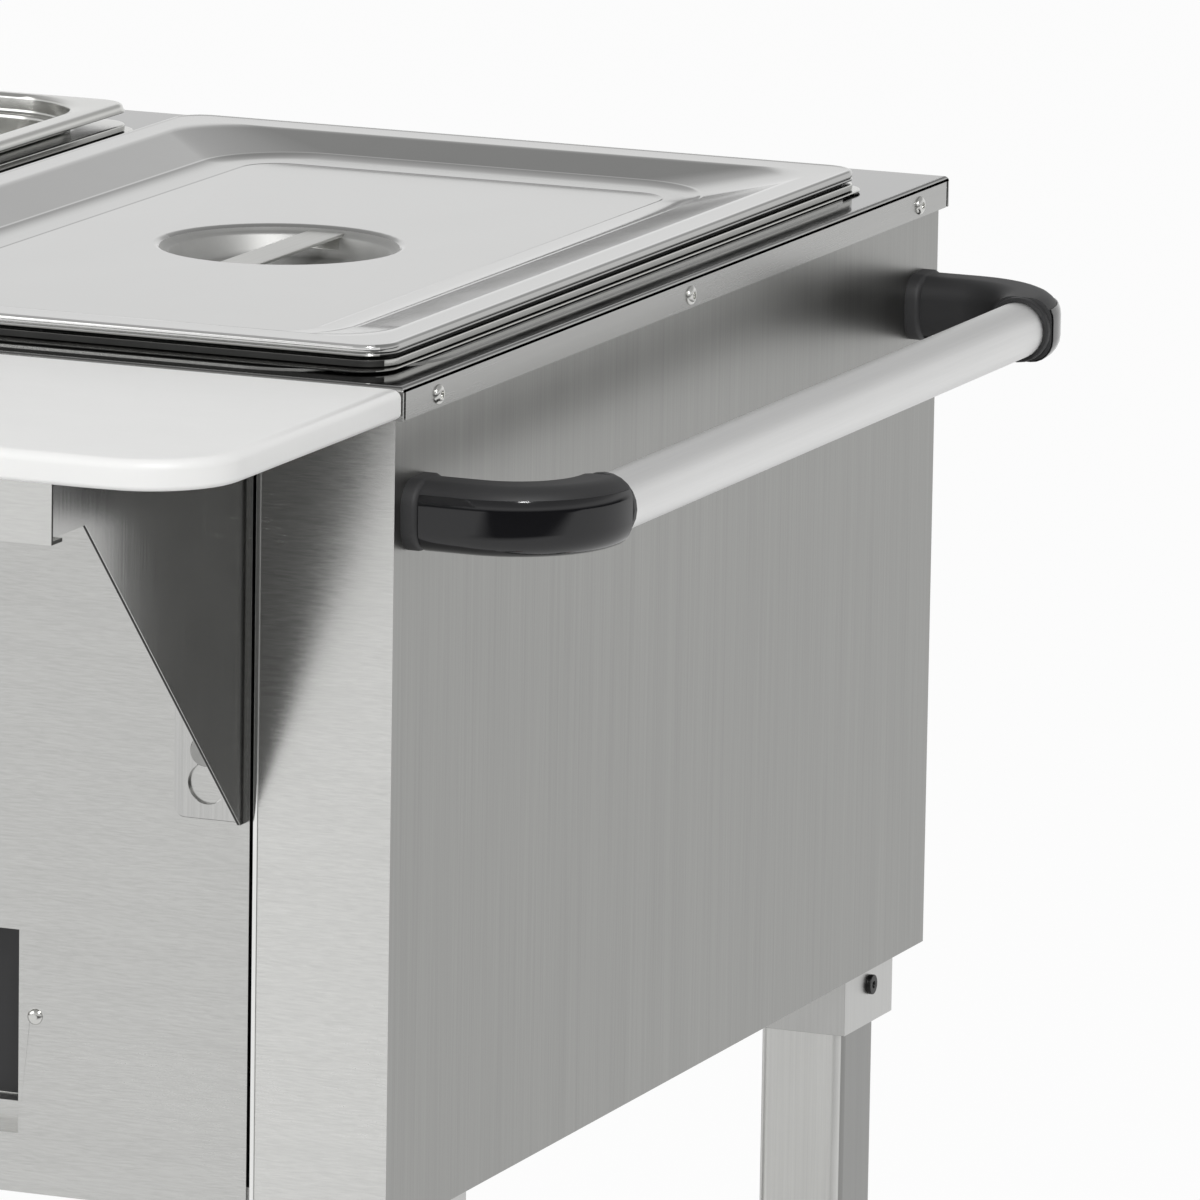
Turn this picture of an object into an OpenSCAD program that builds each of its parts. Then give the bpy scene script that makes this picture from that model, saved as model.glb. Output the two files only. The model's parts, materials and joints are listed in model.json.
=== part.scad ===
// Three-well mobile steam table with a cutting board shelf and a push bar.
// X runs along the table with the push bar at +X, the servers stand at -Y, +Z is up.
// The origin is on the floor, under the middle of the outer box.

/* [Table top] */
// Distance from an end opening to the end of the table top
end_margin = 30.5; // [28:0.5:60]
// Distance from the openings to the front lip
front_margin = 32; // [28:1:60]
// Distance from the openings to the back lip
back_margin = 67; // [40:1:100]
// Working height, floor to table top
table_h = 864; // [840:4:920]
// Thickness of the table top sheet
top_t = 1.2; // [1:0.1:2]
// Height of the turned-down lips
lip_h = 14; // [12:1:20]
// Width of the open slit where two lips meet
lip_slit = 1.8; // [1:0.2:3]
// Height of the raised border round each opening
border_h = 0.6; // [0.4:0.1:1.5]
// Width of the raised border round each opening
border_w = 19; // [18:0.5:20.5]

/* [Cabinet] */
// Height of the cabinet, table top included
cabinet_h = 352; // [330:2:380]
// Thickness of the cabinet sheets
panel_t = 1.2; // [0.8:0.1:1.5]
// How far the side panels stand behind the side lips
side_inset = 4; // [3:0.5:8]
// How far the front and back panels stand behind their lips
front_inset = 2; // [1.7:0.1:4]
// Width of the corner posts that the side panels turn round
post_w = 61; // [55:1:75]
// Width of the seam between a post and the front panel
seam_w = 1.5; // [1:0.1:3]
// Depth of the folded side edges of the front and back panels
fold_d = 12; // [8:1:15]
// How far the cabinet floor lies above the bottom edges
floor_rise = 12; // [10:1:16]

/* [Wells] */
// Distance between neighbouring wells
well_pitch = 356; // [350:1:362]
// Width of an opening in the table top
opening_w = 307; // [306:0.5:309]
// Depth of an opening in the table top
opening_d = 511; // [510:0.5:513]
// Corner radius of an opening
opening_r = 46; // [44:0.5:47]
// Depth of a well box below the table top
well_h = 200; // [190:2:215]
// Thickness of the well box sheet
well_t = 1; // [0.8:0.1:1.5]
// Room between an opening and the wall of its well box
well_gap = 5; // [3:0.5:7]

/* [Heating elements] */
// Radius of the heating tube
element_r = 4; // [3:0.5:5]
// Height of the heating tube above the well floor
element_rise = 20; // [18:1:28]
// Radius of the hairpin bends
bend_r = 30; // [24:1:34]
// Length of the straight runs
run_l = 300; // [240:10:360]
// Radius of the collars where the tube passes the well floor
collar_r = 8; // [7:0.5:10]
// Thickness of the collars and nuts
collar_t = 3; // [2:0.5:5]

/* [Spillage pans] */
// Width over the flange
spill_w = 334; // [333:0.5:338]
// Depth over the flange
spill_d = 540; // [534:1:546]
// Thickness of the spillage pan sheet
spill_t = 0.9; // [0.7:0.1:1.2]
// Inside depth of a spillage pan
spill_h = 150; // [130:5:160]
// Gap between an opening and the pan wall in it
spill_gap = 1; // [0.6:0.1:1.5]

/* [Food pans] */
// Width of pans and lids over the rim
pan_w = 331; // [328:0.5:332]
// Depth of pans and lids over the rim
pan_d = 526; // [524:0.5:528]
// Corner radius of pans and lids
pan_r = 28; // [22:1:30]
// Thickness of the pan and lid sheet
pan_t = 1; // [0.8:0.1:1.2]
// Height of the rolled rim of a food pan
pan_rim_h = 3.4; // [2.4:0.1:4]
// Depth of a food pan
pan_h = 100; // [80:5:125]
// Gap between the spillage pan and the food pan wall in it
pan_gap = 1.6; // [1.2:0.1:2]

/* [Insert pan] */
// Depth of the shallow open pan in the middle well
insert_h = 65; // [50:5:75]
// Height of its rim over the food pan under it
insert_rise = 9.5; // [8:0.5:12]
// Height of its rolled rim
insert_rim_h = 4; // [3:0.5:5]
// Width of its shoulder outside the food pan wall
shoulder_w = 3; // [2:0.5:4]
// Gap between the food pan and the insert pan wall in it
insert_gap = 1.6; // [1.2:0.1:2]

/* [Lids] */
// Height of a lid over its food pan
lid_h = 6; // [5:0.5:8]
// Width of the flat rim of a lid
lid_rim_w = 21; // [19:0.5:23]
// Distance from the rim edge to the foot of the slope
lid_slope_w = 42; // [40:0.5:44]
// Distance from the rim edge to the raised middle
lid_middle_w = 62; // [60:1:68]
// Depth of the channel below the rim
lid_channel_h = 11; // [9:0.5:13]
// Height of the raised middle over the channel
lid_middle_h = 2; // [1.5:0.5:4]
// Corner radius of the raised middle
lid_middle_r = 18; // [14:1:24]
// Radius of the hand recess at its top
recess_r = 56; // [50:1:60]
// Radius of the hand recess under its rounded shoulder
recess_wall_r = 51; // [48:1:52]
// Radius of the hand recess at its floor
recess_floor_r = 45; // [38:1:46]
// Depth of the hand recess
recess_h = 13; // [10:0.5:18]
// Width of the strap over the recess
strap_w = 17; // [14:1:22]
// Thickness of the strap
strap_t = 1.5; // [1.2:0.1:2]
// Depth of the strap below the raised middle
strap_drop = 2; // [2:0.5:3]
// Length of the strap's turned-down ends
strap_end_h = 7; // [4:1:8]

/* [Controls] */
// Width of the control opening
control_w = 740; // [660:10:760]
// Height of the control opening
control_h = 86; // [80:2:92]
// Height of the control opening over the bottom edge
control_z = 25; // [25:1:40]
// Depth of the recessed control panel
control_recess = 14; // [10:1:20]
// Width of the panel flange behind the front panel
control_flange = 12; // [9:1:14]
// Thickness of the black overlay
overlay_t = 0.8; // [0.5:0.1:1.2]
// Height of the black overlay
overlay_h = 72; // [68:1:76]
// Height of the steel ledge under the overlay
ledge_h = 2; // [1.5:0.5:3]
// Distance between neighbouring knobs
knob_pitch = 245; // [200:5:260]
// Radius of a knob grip
knob_r = 17; // [14:1:20]
// Radius of a knob skirt
skirt_r = 23; // [21:1:25]
// Height of a knob
knob_h = 20; // [16:1:24]
// Radius of a knob spindle
spindle_r = 3; // [2.5:0.5:4]
// Width and height of a heat control
control_box = 44; // [40:1:50]
// Depth of a heat control
control_box_d = 32; // [26:1:40]
// Distance from a knob to its indicator light
light_x = 46; // [40:1:60]
// Radius of an indicator light
light_r = 6; // [4:0.5:8]

/* [Cutting board] */
// Depth of the cutting board
board_d = 195; // [180:5:230]
// Thickness of the cutting board
board_t = 12.7; // [10:0.1:14]
// Gap between the board and the front lip
board_gap = 2; // [1:0.5:4]
// Radius of the front corners of the board
board_r = 40; // [25:5:60]
// Distance from the front of the board to the front of the rail
rail_setback = 5; // [3:1:10]
// Height of the rail
rail_h = 25; // [20:1:32]
// Width of the rail's top and bottom flanges
rail_flange = 20; // [16:1:26]
// Thickness of the rail and bracket sheets
bracket_t = 1.5; // [1.2:0.1:2]
// Distance from the table end to the bracket webs
bracket_x = 68; // [67:1:90]
// Width of the bracket flanges
bracket_flange = 32; // [30:1:40]
// Height of the bracket's foot below the table top
bracket_drop = 186; // [170:2:200]
// Length of the straight nose of a bracket
nose_l = 36; // [25:1:50]
// Height of the lower keyhole below the table top
keyhole_drop = 171; // [162:1:172]
// Distance between the two keyholes of a bracket
keyhole_pitch = 100; // [90:1:100]
// Radius of a keyhole
keyhole_r = 8.5; // [8:0.5:9]
// Lift that frees a keyhole from its screw
keyhole_lift = 14; // [12:0.5:14]
// Radius of the screws that the keyholes hang on
hook_r = 3.2; // [3:0.1:3.4]
// Radius of the heads of those screws
hook_head_r = 6.5; // [5.5:0.5:7]

/* [Push bar] */
// Radius of the push bar tube
bar_r = 12.5; // [11:0.5:14]
// Wall of the push bar tube
bar_wall = 1.5; // [1.2:0.1:2.5]
// Distance from the table end to the middle of the bar
bar_reach = 60; // [56:1:75]
// Depth of the bar below the table top
bar_drop = 55; // [45:1:80]
// Distance from the front and back panels to the middles of the arms
arm_inset = 23; // [21:1:60]
// Radius of the bracket arms
arm_r = 15; // [14.6:0.1:16]
// Bend radius of the bracket arms
arm_bend = 38; // [30:1:40]
// How deep the bar sits in each bracket
bar_seat = 14; // [10:1:20]
// Width of the bracket feet
foot_w = 42; // [38:1:46]
// Height of the bracket feet
foot_h = 34; // [32:1:40]
// Thickness of the bracket feet
foot_t = 6; // [4:0.5:8]

/* [Legs] */
// Width of the square leg tube
leg_w = 40; // [36:1:42]
// Wall of the leg tube
leg_wall = 1.5; // [1.2:0.1:2]
// Corner radius of the leg tube
leg_r = 5; // [3:0.5:7]
// Distance from the front and back panels to the middles of the legs
leg_inset = 67.5; // [60:0.5:90]
// Height of a socket
socket_h = 38; // [30:1:50]
// Depth of a socket along the side of the table
socket_d = 58; // [54:1:64]
// Thickness of the socket sheet
socket_t = 1.5; // [1.2:0.1:2]
// Gap between a socket and the side panel
socket_gap = 1.3; // [1.3:0.1:4]

/* [Undershelf] */
// Height of the undershelf
shelf_z = 240; // [220:5:320]
// Height of the turned-down edges of the shelf
shelf_edge = 30; // [20:1:35]
// Thickness of the shelf sheet
shelf_t = 1.2; // [1:0.1:1.5]
// Height of the collars that hold the shelf on the legs
shelf_collar = 38; // [34:1:45]

/* [Casters] */
// Height of a caster, floor to leg
caster_h = 155; // [155:1:165]
// Radius of a wheel
wheel_r = 62.5; // [58:0.5:62.5]
// Width of a wheel tread
wheel_w = 30; // [26:1:30]
// Trail from the swivel axis to the wheel axle
trail = 35; // [32:1:36]
// Radius of a wheel axle
axle_r = 4; // [3:0.5:5]
// Radius of the swivel pin
swivel_r = 6; // [5:0.5:7]
// Radius of the swivel bearing
bearing_r = 24; // [22:1:26]
// Thickness of the fork cheeks
cheek_t = 3; // [2.5:0.5:3.5]

/* [Hidden] */
$fn = 48;
// Extra depth of every cut
over = 1;
// Gap between pieces that rest side by side
seat_gap = 0.3;
// Radial clearance of the turning fits
run_fit = 0.05;
// Radial clearance of screws in their holes
screw_fit = 0.2;
// Gap between an inner tube and the sleeve round it
sleeve_fit = 0.2;

// The table top reaches past its openings
table_w = 2 * well_pitch + opening_w + 2 * end_margin;
table_d = front_margin + opening_d + back_margin;
well_shift = (front_margin - back_margin) / 2;

// Places and heights that the cabinet works from
top_z = table_h;
top_under = top_z - top_t;
cab_x = table_w / 2 - side_inset;
cab_y = table_d / 2 - front_inset;
cab_bottom = table_h - cabinet_h;
floor_z = cab_bottom + floor_rise;
front_half = cab_x - post_w - seam_w;
well_xs = [-well_pitch, 0, well_pitch];

// Radii and heights of the nested pans
border_z = top_z + border_h;
spill_flange_z = border_z + spill_t;
spill_out_w = opening_w - 2 * spill_gap;
spill_out_d = opening_d - 2 * spill_gap;
spill_out_r = opening_r - spill_gap;
spill_r = pan_r + (spill_w - pan_w) / 2;
pan_out_w = spill_out_w - 2 * (spill_t + pan_gap);
pan_out_d = spill_out_d - 2 * (spill_t + pan_gap);
pan_out_r = spill_out_r - spill_t - pan_gap;
pan_z = spill_flange_z + pan_rim_h;
insert_out_w = pan_out_w - 2 * (pan_t + insert_gap);
insert_out_d = pan_out_d - 2 * (pan_t + insert_gap);
insert_out_r = pan_out_r - pan_t - insert_gap;
insert_z = pan_z + insert_rise;
lid_z = pan_z + lid_h;
channel_z = lid_z - lid_channel_h;
middle_z = channel_z + lid_middle_h;
// The pan rims roll under by this much
roll_r = 2.2;
// Depth of the rounded edge of the hand recess
recess_edge_h = 3;

// The well boxes hang from a flange under the table top
well_in_w = opening_w + 2 * well_gap;
well_in_d = opening_d + 2 * well_gap;
well_in_r = opening_r + well_gap;
well_flange = 6;
well_floor = top_under - well_h;
rest_bar_w = 10;

// Places along the heating tube
element_z = well_floor + well_t + element_rise;
element_xs = [-3 * bend_r, -bend_r, bend_r, 3 * bend_r];
element_foot_y = -run_l / 2;
drop_r = 10;
terminal_l = 16;

// The recessed control panel lies behind the front panel
control_bottom = cab_bottom + control_z;
control_top = control_bottom + control_h;
control_lap = 0.5;
plate_y = -cab_y + control_recess;
knob_xs = [-knob_pitch, 0, knob_pitch];
knob_z = control_top - overlay_h / 2;
ledge_z = control_top - overlay_h - 2 * control_lap;
skirt_t = 3;
skirt_gap = 0.5;
spindle_l = 16;
pointer_w = 2.4;
pointer_h = 1;
pointer_l_share = 0.8;
light_h = 4;
light_stem_r = 4;
light_stem_l = 14;
grip_flats_share = 1.2;
rivet_inset = 7.5;
rivet_x = control_w / 2 + rivet_inset;
rivet_r = 3.4;
rivet_t = 1.6;
rivet_shank_r = 1.9;
rivet_shank_l = 5;

// The board lies in front of the front lip, level with the table top
board_front = -table_d / 2 - board_gap - board_d;
board_z = top_z - board_t;
rail_front = board_front + rail_setback;
rail_over = 3;
rail_x = table_w / 2 - bracket_x + rail_over;
web_x = table_w / 2 - bracket_x;
keyhole_inset = 17;
keyhole_x = web_x - keyhole_inset;
keyhole_z = top_z - keyhole_drop;
keyhole_zs = [keyhole_z, keyhole_z + keyhole_pitch];
bracket_clear = 2;
flange_top = top_z - lip_h - keyhole_lift - bracket_clear;
bracket_notch = 6;
hook_head_t = 3;
hook_shank_l = 8;
hook_play = 0.2;
peg_r = 5;
peg_l = 10;
peg_inset = 60;
peg_deep = 5;
peg_xs = [-rail_x + peg_inset, 0, rail_x - peg_inset];
rail_hem = 10;

// The push bar hangs on two bent arms
bar_x = table_w / 2 + bar_reach;
bar_z = top_z - bar_drop;
arm_straight = 6;
arm_y = cab_y - arm_inset;
bar_l = 2 * (arm_y - arm_straight - arm_bend);
bolt_r = 4;
bolt_head_r = 7;
bolt_head_t = 5;
bolt_l = 16;
bolt_spread = 16;
// How round the feet of the arms are, as a share of their height
foot_round_share = 0.4;

// The legs stand in sockets under the cabinet floor
socket_x = cab_x - panel_t - socket_gap;
leg_x = socket_x - socket_t - sleeve_fit - leg_w / 2;
leg_y = cab_y - leg_inset;
leg_top = floor_z - socket_t;
leg_bottom = caster_h;
socket_bottom = floor_z - socket_h;
leg_ends = [[-1, -1], [1, -1], [1, 1], [-1, 1]];
leg_screw_r = 2.5;
leg_screw_head_r = 4.5;
leg_screw_head_t = 2.2;
leg_screw_l = 9;
leg_screw_key_r = 1.6;
leg_screw_key_d = 1.5;
leg_screw_y = 8;
leg_screw_drop = 20;
leg_screw_z = floor_z - leg_screw_drop;
shelf_screw_z = shelf_z - shelf_t - shelf_collar / 2;

// The shelf stands out round the legs
shelf_margin = 4;
shelf_half_w = leg_x + leg_w / 2 + shelf_margin;
shelf_half_d = leg_y + leg_w / 2 + shelf_margin;

// The casters, each about its own swivel axis
plug_h = 30;
plug_gap = 0.3;
cap_t = 4;
cup_h = 9.7;
crown_h = 11;
head_r = 9;
head_t = 3;
axle_z = wheel_r;
cup_z = caster_h - cap_t - cup_h;
crown_z = cup_z - seat_gap - crown_h;
cheek_gap = 4;
cheek_y = wheel_w / 2 + cheek_gap;
boss_r = 11;
axle_head_r = 7;
axle_head_t = 3.5;
axle_gap = 0.15;
hub_r = 13;
hub_w = 2 * cheek_y - 2 * seat_gap;
web_t = 8;
tread_t = 9;
rim_r = wheel_r - tread_t;
tread_edge = 4;
pedal_reach = 33;
pedal_drop = 5;
pedal_x = trail + pedal_reach;
pedal_z = crown_z - pedal_drop;
pedal_pin_r = 3;
pedal_barrel_r = 6;
pedal_gap = 1.5;
pedal_w = 2 * (cheek_y - pedal_gap);
pedal_l = 34;
pedal_t = 4;
pedal_fall = 8;
ear_r = 8;

// Lip screws, cord gland and terminal block
lip_screw_r = 2;
lip_screw_head_r = 4.2;
lip_screw_head_t = 1.9;
lip_screw_l = 9;
lip_screw_drop = 8.5;
lip_screw_key_r = 1.4;
lip_screw_margin = 36;
lip_screw_ys = [-table_d / 2 + lip_screw_margin, 0, table_d / 2 - lip_screw_margin];
// The gland lies behind the undershelf, so that a cord hangs free
gland_inset = 130;
gland_setback = 23;
gland_x = gland_inset - cab_x;
gland_y = cab_y - gland_setback;
gland_r = 10;
gland_bore_r = 5;
gland_flange_r = 15;
gland_flange_t = 6;
gland_l = 24;
block_w = 70;
block_d = 34;
block_h = 24;
block_gap = 95;
block_x = gland_x + gland_flange_r + block_gap;

// The middle of the table top lies off the middle of the outer box
shift_x = (lip_screw_head_t - bar_reach - arm_r) / 2;
shift_y = (board_gap + board_d) / 2;

// Helpers

// Everything is drawn about the middle of the table top, then put in its place
module place() {
    translate([shift_x, shift_y, 0]) children();
}

// A box given by its lowest and highest corner
module block(low, high) {
    translate(low) cube(high - low);
}

// A rectangle with round corners
module round_rect(w, d, r) {
    square([w - 2 * r, d], center = true);
    square([w, d - 2 * r], center = true);
    for (sx = [-1, 1], sy = [-1, 1])
        translate([sx * (w / 2 - r), sy * (d / 2 - r)]) circle(r);
}

// A flat plate with round corners, from z to z + t
module round_plate(w, d, r, z, t) {
    translate([0, 0, z]) linear_extrude(t) round_rect(w, d, r);
}

// A profile swept round a rectangle with round corners
// The profile's x is the distance from the corner centres, its y is the height
module sweep(w, d, r) {
    for (a = [0, 180]) rotate(a) {
        translate([w / 2 - r, 0, 0]) rotate([90, 0, 0])
            linear_extrude(d - 2 * r, center = true) children();
        translate([0, d / 2 - r, 0]) rotate([90, 0, 90])
            linear_extrude(w - 2 * r, center = true) children();
        translate([w / 2 - r, d / 2 - r, 0]) rotate_extrude(angle = 90) children();
        translate([r - w / 2, d / 2 - r, 0]) rotate(90) rotate_extrude(angle = 90) children();
    }
}

// A straight pan wall with its floor
module tub(w, d, r, z, t, floor_at) {
    difference() {
        round_plate(w, d, r, floor_at, z - floor_at);
        round_plate(w - 2 * t, d - 2 * t, r - t, floor_at + t, z - floor_at - t + over);
    }
}

// A flat flange between an outer outline and a mouth
module flange(w, d, r, mouth_w, mouth_d, mouth_r, z, t) {
    translate([0, 0, z - t]) linear_extrude(t) difference() {
        round_rect(w, d, r);
        round_rect(mouth_w, mouth_d, mouth_r);
    }
}

// A cylinder along X or Y, from its start in the direction of +X or +Y
module rod_x(start, r, l) {
    translate(start) rotate([0, 90, 0]) cylinder(r = r, h = l);
}
module rod_y(start, r, l) {
    translate(start) rotate([-90, 0, 0]) cylinder(r = r, h = l);
}

// Table top

module opening_at(x) {
    translate([x, well_shift, 0])
        round_plate(opening_w, opening_d, opening_r, top_under - over, top_t + border_h + 2 * over);
}

module table_top() color("gainsboro") place() difference() {
    union() {
        block([-table_w / 2, -table_d / 2, top_under], [table_w / 2, table_d / 2, top_z]);
        for (x = well_xs) translate([x, well_shift, 0])
            round_plate(opening_w + 2 * border_w, opening_d + 2 * border_w, opening_r + border_w,
                top_z, border_h);
        for (s = [-1, 1]) {
            translate([0, s * (table_d - top_t) / 2, top_z - lip_h / 2])
                cube([table_w, top_t, lip_h], center = true);
            translate([s * (table_w - top_t) / 2, 0, top_z - lip_h / 2])
                cube([top_t, table_d - 2 * (top_t + lip_slit), lip_h], center = true);
        }
    }
    for (x = well_xs) opening_at(x);
    for (y = lip_screw_ys)
        rod_x([-table_w / 2 - over, y, top_z - lip_screw_drop], lip_screw_r + screw_fit, table_w + 2 * over);
}

// Cabinet sheets

module side_panel(s) difference() {
    union() {
        translate([s * (cab_x - panel_t / 2), 0, (cab_bottom + top_under) / 2])
            cube([panel_t, 2 * cab_y, top_under - cab_bottom], center = true);
        for (e = [-1, 1])
            translate([s * (cab_x - post_w / 2), e * (cab_y - panel_t / 2), (cab_bottom + top_under) / 2])
                cube([post_w, panel_t, top_under - cab_bottom], center = true);
    }
    for (y = lip_screw_ys)
        rod_x([-table_w / 2, y, top_z - lip_screw_drop], lip_screw_r + screw_fit, table_w);
    for (e = [-1, 1], o = [-1, 1])
        rod_x([-over, e * arm_y + o * bolt_spread / 2, bar_z], bolt_r + screw_fit, table_w);
}

module right_side_panel() color("silver") place() side_panel(1);

module left_side_panel() color("silver") place() side_panel(-1);

module fold(s, e) {
    translate([s * (front_half - panel_t / 2), e * (cab_y - fold_d / 2), (floor_z + panel_t + top_under) / 2])
        cube([panel_t, fold_d, top_under - floor_z - panel_t - 2 * seat_gap], center = true);
}

module sheet_panel(e) {
    translate([0, e * (cab_y - panel_t / 2), (cab_bottom + top_under) / 2])
        cube([2 * front_half, panel_t, top_under - cab_bottom], center = true);
    for (s = [-1, 1]) fold(s, e);
}

module front_panel() color("silver") place() difference() {
    sheet_panel(-1);
    block([-control_w / 2, -cab_y - over, control_bottom],
        [control_w / 2, -cab_y + panel_t + over, control_top]);
    for (s = [-1, 1], z = keyhole_zs)
        rod_y([s * keyhole_x, -cab_y - over, z + keyhole_lift], hook_r + screw_fit, panel_t + 2 * over);
    for (s = [-1, 1])
        rod_y([s * rivet_x, -cab_y - over, knob_z], rivet_shank_r + screw_fit, panel_t + 2 * over);
}

module back_panel() color("silver") place() sheet_panel(1);

module cabinet_floor() color("silver") place() difference() {
    in_x = cab_x - panel_t;
    in_y = cab_y - panel_t;
    union() {
        block([-in_x, -in_y, floor_z], [in_x, in_y, floor_z + panel_t]);
        difference() {
            block([-in_x, -in_y, cab_bottom + panel_t], [in_x, in_y, floor_z]);
            block([panel_t - in_x, panel_t - in_y, cab_bottom], [in_x - panel_t, in_y - panel_t, floor_z]);
        }
    }
    translate([gland_x, gland_y, floor_z - over])
        cylinder(r = gland_r + screw_fit, h = panel_t + 2 * over);
}

// Well boxes and heating elements

module well_box() {
    difference() {
        union() {
            tub(well_in_w + 2 * well_t, well_in_d + 2 * well_t, well_in_r + well_t,
                top_under, well_t, well_floor);
            round_plate(well_in_w + 2 * well_flange, well_in_d + 2 * well_flange,
                well_in_r + well_flange, top_under - well_t, well_t);
        }
        round_plate(well_in_w, well_in_d, well_in_r, well_floor + well_t, well_h + over);
        for (x = [element_xs[0], element_xs[3]])
            translate([x, element_foot_y - drop_r, well_floor - over])
                cylinder(r = element_r + screw_fit, h = well_t + 2 * over);
    }
    block([-3 * bend_r - element_r, run_l / 4, well_floor + well_t],
        [3 * bend_r + element_r, run_l / 4 + rest_bar_w, element_z - element_r - seat_gap]);
}

module well_at(x) color("darkgray") place() translate([x, well_shift, 0]) well_box();
module left_well() well_at(well_xs[0]);
module middle_well() well_at(well_xs[1]);
module right_well() well_at(well_xs[2]);

module hairpin(x, y, turned) {
    translate([x, y, element_z]) rotate(turned ? 180 : 0)
        rotate_extrude(angle = 180) translate([bend_r, 0]) circle(element_r);
}

module element() {
    for (x = element_xs) rod_y([x, -run_l / 2, element_z], element_r, run_l);
    hairpin(-2 * bend_r, run_l / 2, false);
    hairpin(0, -run_l / 2, true);
    hairpin(2 * bend_r, run_l / 2, false);
    for (x = [element_xs[0], element_xs[3]]) translate([x, element_foot_y, element_z - drop_r]) {
        rotate([0, -90, 0]) rotate_extrude(angle = -90) translate([drop_r, 0]) circle(element_r);
        translate([0, -drop_r, well_floor - terminal_l - (element_z - drop_r)])
            cylinder(r = element_r, h = element_z - drop_r - well_floor + terminal_l);
        for (z = [well_floor + well_t, well_floor - collar_t])
            translate([0, -drop_r, z - (element_z - drop_r)]) cylinder(r = collar_r, h = collar_t);
    }
}

module heating_elements() color("dimgray") place()
    for (x = well_xs) translate([x, well_shift, 0]) element();

// Controls

module control_panel() color("silver") place() difference() {
    union() {
        block([-control_w / 2 - panel_t, -cab_y + panel_t, control_bottom - panel_t],
            [control_w / 2 + panel_t, plate_y + panel_t, control_top + panel_t]);
        block([-control_w / 2 - control_flange, -cab_y + panel_t, control_bottom - panel_t],
            [control_w / 2 + control_flange, -cab_y + 2 * panel_t, control_top + control_flange]);
    }
    difference() {
        block([-control_w / 2, -cab_y, control_bottom], [control_w / 2, plate_y, control_top]);
        block([-control_w / 2 - over, -cab_y + 2 * panel_t, ledge_z - ledge_h],
            [control_w / 2 + over, plate_y, ledge_z]);
    }
    for (x = knob_xs) {
        rod_y([x, plate_y - over, knob_z], spindle_r + screw_fit, panel_t + 2 * over);
        rod_y([x + light_x, plate_y - over, knob_z], light_stem_r + screw_fit, panel_t + 2 * over);
    }
    for (s = [-1, 1])
        rod_y([s * rivet_x, -cab_y, knob_z], rivet_shank_r + screw_fit, 2 * panel_t + over);
}

module control_overlay() color("black") place() difference() {
    block([control_lap - control_w / 2, plate_y - overlay_t, control_top - overlay_h - control_lap],
        [control_w / 2 - control_lap, plate_y, control_top - control_lap]);
    for (x = knob_xs) {
        rod_y([x, plate_y - overlay_t - over, knob_z], spindle_r + screw_fit, overlay_t + 2 * over);
        rod_y([x + light_x, plate_y - overlay_t - over, knob_z], light_stem_r + screw_fit,
            overlay_t + 2 * over);
    }
}

module heat_controls() color("darkslategray") place() for (x = knob_xs) difference() {
    block([x - control_box / 2, plate_y + panel_t, knob_z - control_box / 2],
        [x + control_box / 2, plate_y + panel_t + control_box_d, knob_z + control_box / 2]);
    rod_y([x, plate_y, knob_z], spindle_r + run_fit, spindle_l + panel_t + over);
}

module indicator_lights() color("orange") place() for (x = knob_xs) {
    rod_y([x + light_x, plate_y - overlay_t - light_h, knob_z], light_r, light_h);
    rod_y([x + light_x, plate_y - overlay_t, knob_z], light_stem_r, light_stem_l);
}

// A skirt, a grip with two flats and a pointer, with the spindle in its back
module knob_at(x) color("black") place() translate([x, plate_y - overlay_t - skirt_gap, knob_z]) {
    rod_y([0, -skirt_t, 0], skirt_r, skirt_t);
    intersection() {
        rod_y([0, -knob_h, 0], knob_r, knob_h - skirt_t);
        cube([2 * knob_r / grip_flats_share, 3 * knob_h, 3 * knob_r], center = true);
    }
    translate([0, -knob_h, knob_r / 2])
        cube([pointer_w, 2 * pointer_h, knob_r * pointer_l_share], center = true);
    rod_y([0, 0, 0], spindle_r, spindle_l);
}
module left_knob() knob_at(knob_xs[0]);
module middle_knob() knob_at(knob_xs[1]);
module right_knob() knob_at(knob_xs[2]);

module terminal_block() color("ivory") place()
    block([block_x, gland_y - block_d / 2, floor_z + panel_t],
        [block_x + block_w, gland_y + block_d / 2, floor_z + panel_t + block_h]);

module cord_gland() color("black") place() translate([gland_x, gland_y, 0]) difference() {
    union() {
        translate([0, 0, floor_z + panel_t]) cylinder(r = gland_flange_r, h = gland_flange_t);
        translate([0, 0, floor_z - gland_flange_t]) cylinder(r = gland_flange_r, h = gland_flange_t);
        translate([0, 0, floor_z - gland_l]) cylinder(r = gland_r, h = gland_l + panel_t + gland_flange_t);
    }
    translate([0, 0, floor_z - gland_l - over])
        cylinder(r = gland_bore_r, h = gland_l + panel_t + gland_flange_t + 2 * over);
}

// Pans and lids, each about the middle of its well

module well_child(x) {
    place() translate([x, well_shift, 0]) children();
}

module spillage_pan() {
    tub(spill_out_w, spill_out_d, spill_out_r, spill_flange_z, spill_t, top_z - spill_h);
    flange(spill_w, spill_d, spill_r, spill_out_w - spill_t, spill_out_d - spill_t,
        spill_out_r - spill_t / 2, spill_flange_z, spill_t);
}
module left_spillage_pan() color("lightgray") well_child(well_xs[0]) spillage_pan();
module middle_spillage_pan() color("lightgray") well_child(well_xs[1]) spillage_pan();
module right_spillage_pan() color("lightgray") well_child(well_xs[2]) spillage_pan();

// The rim edge rolls down toward the flange below
module rolled_rim(z, h) {
    flange(pan_w, pan_d, pan_r, pan_w - 2 * roll_r, pan_d - 2 * roll_r, pan_r - roll_r, z, h);
}

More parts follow.
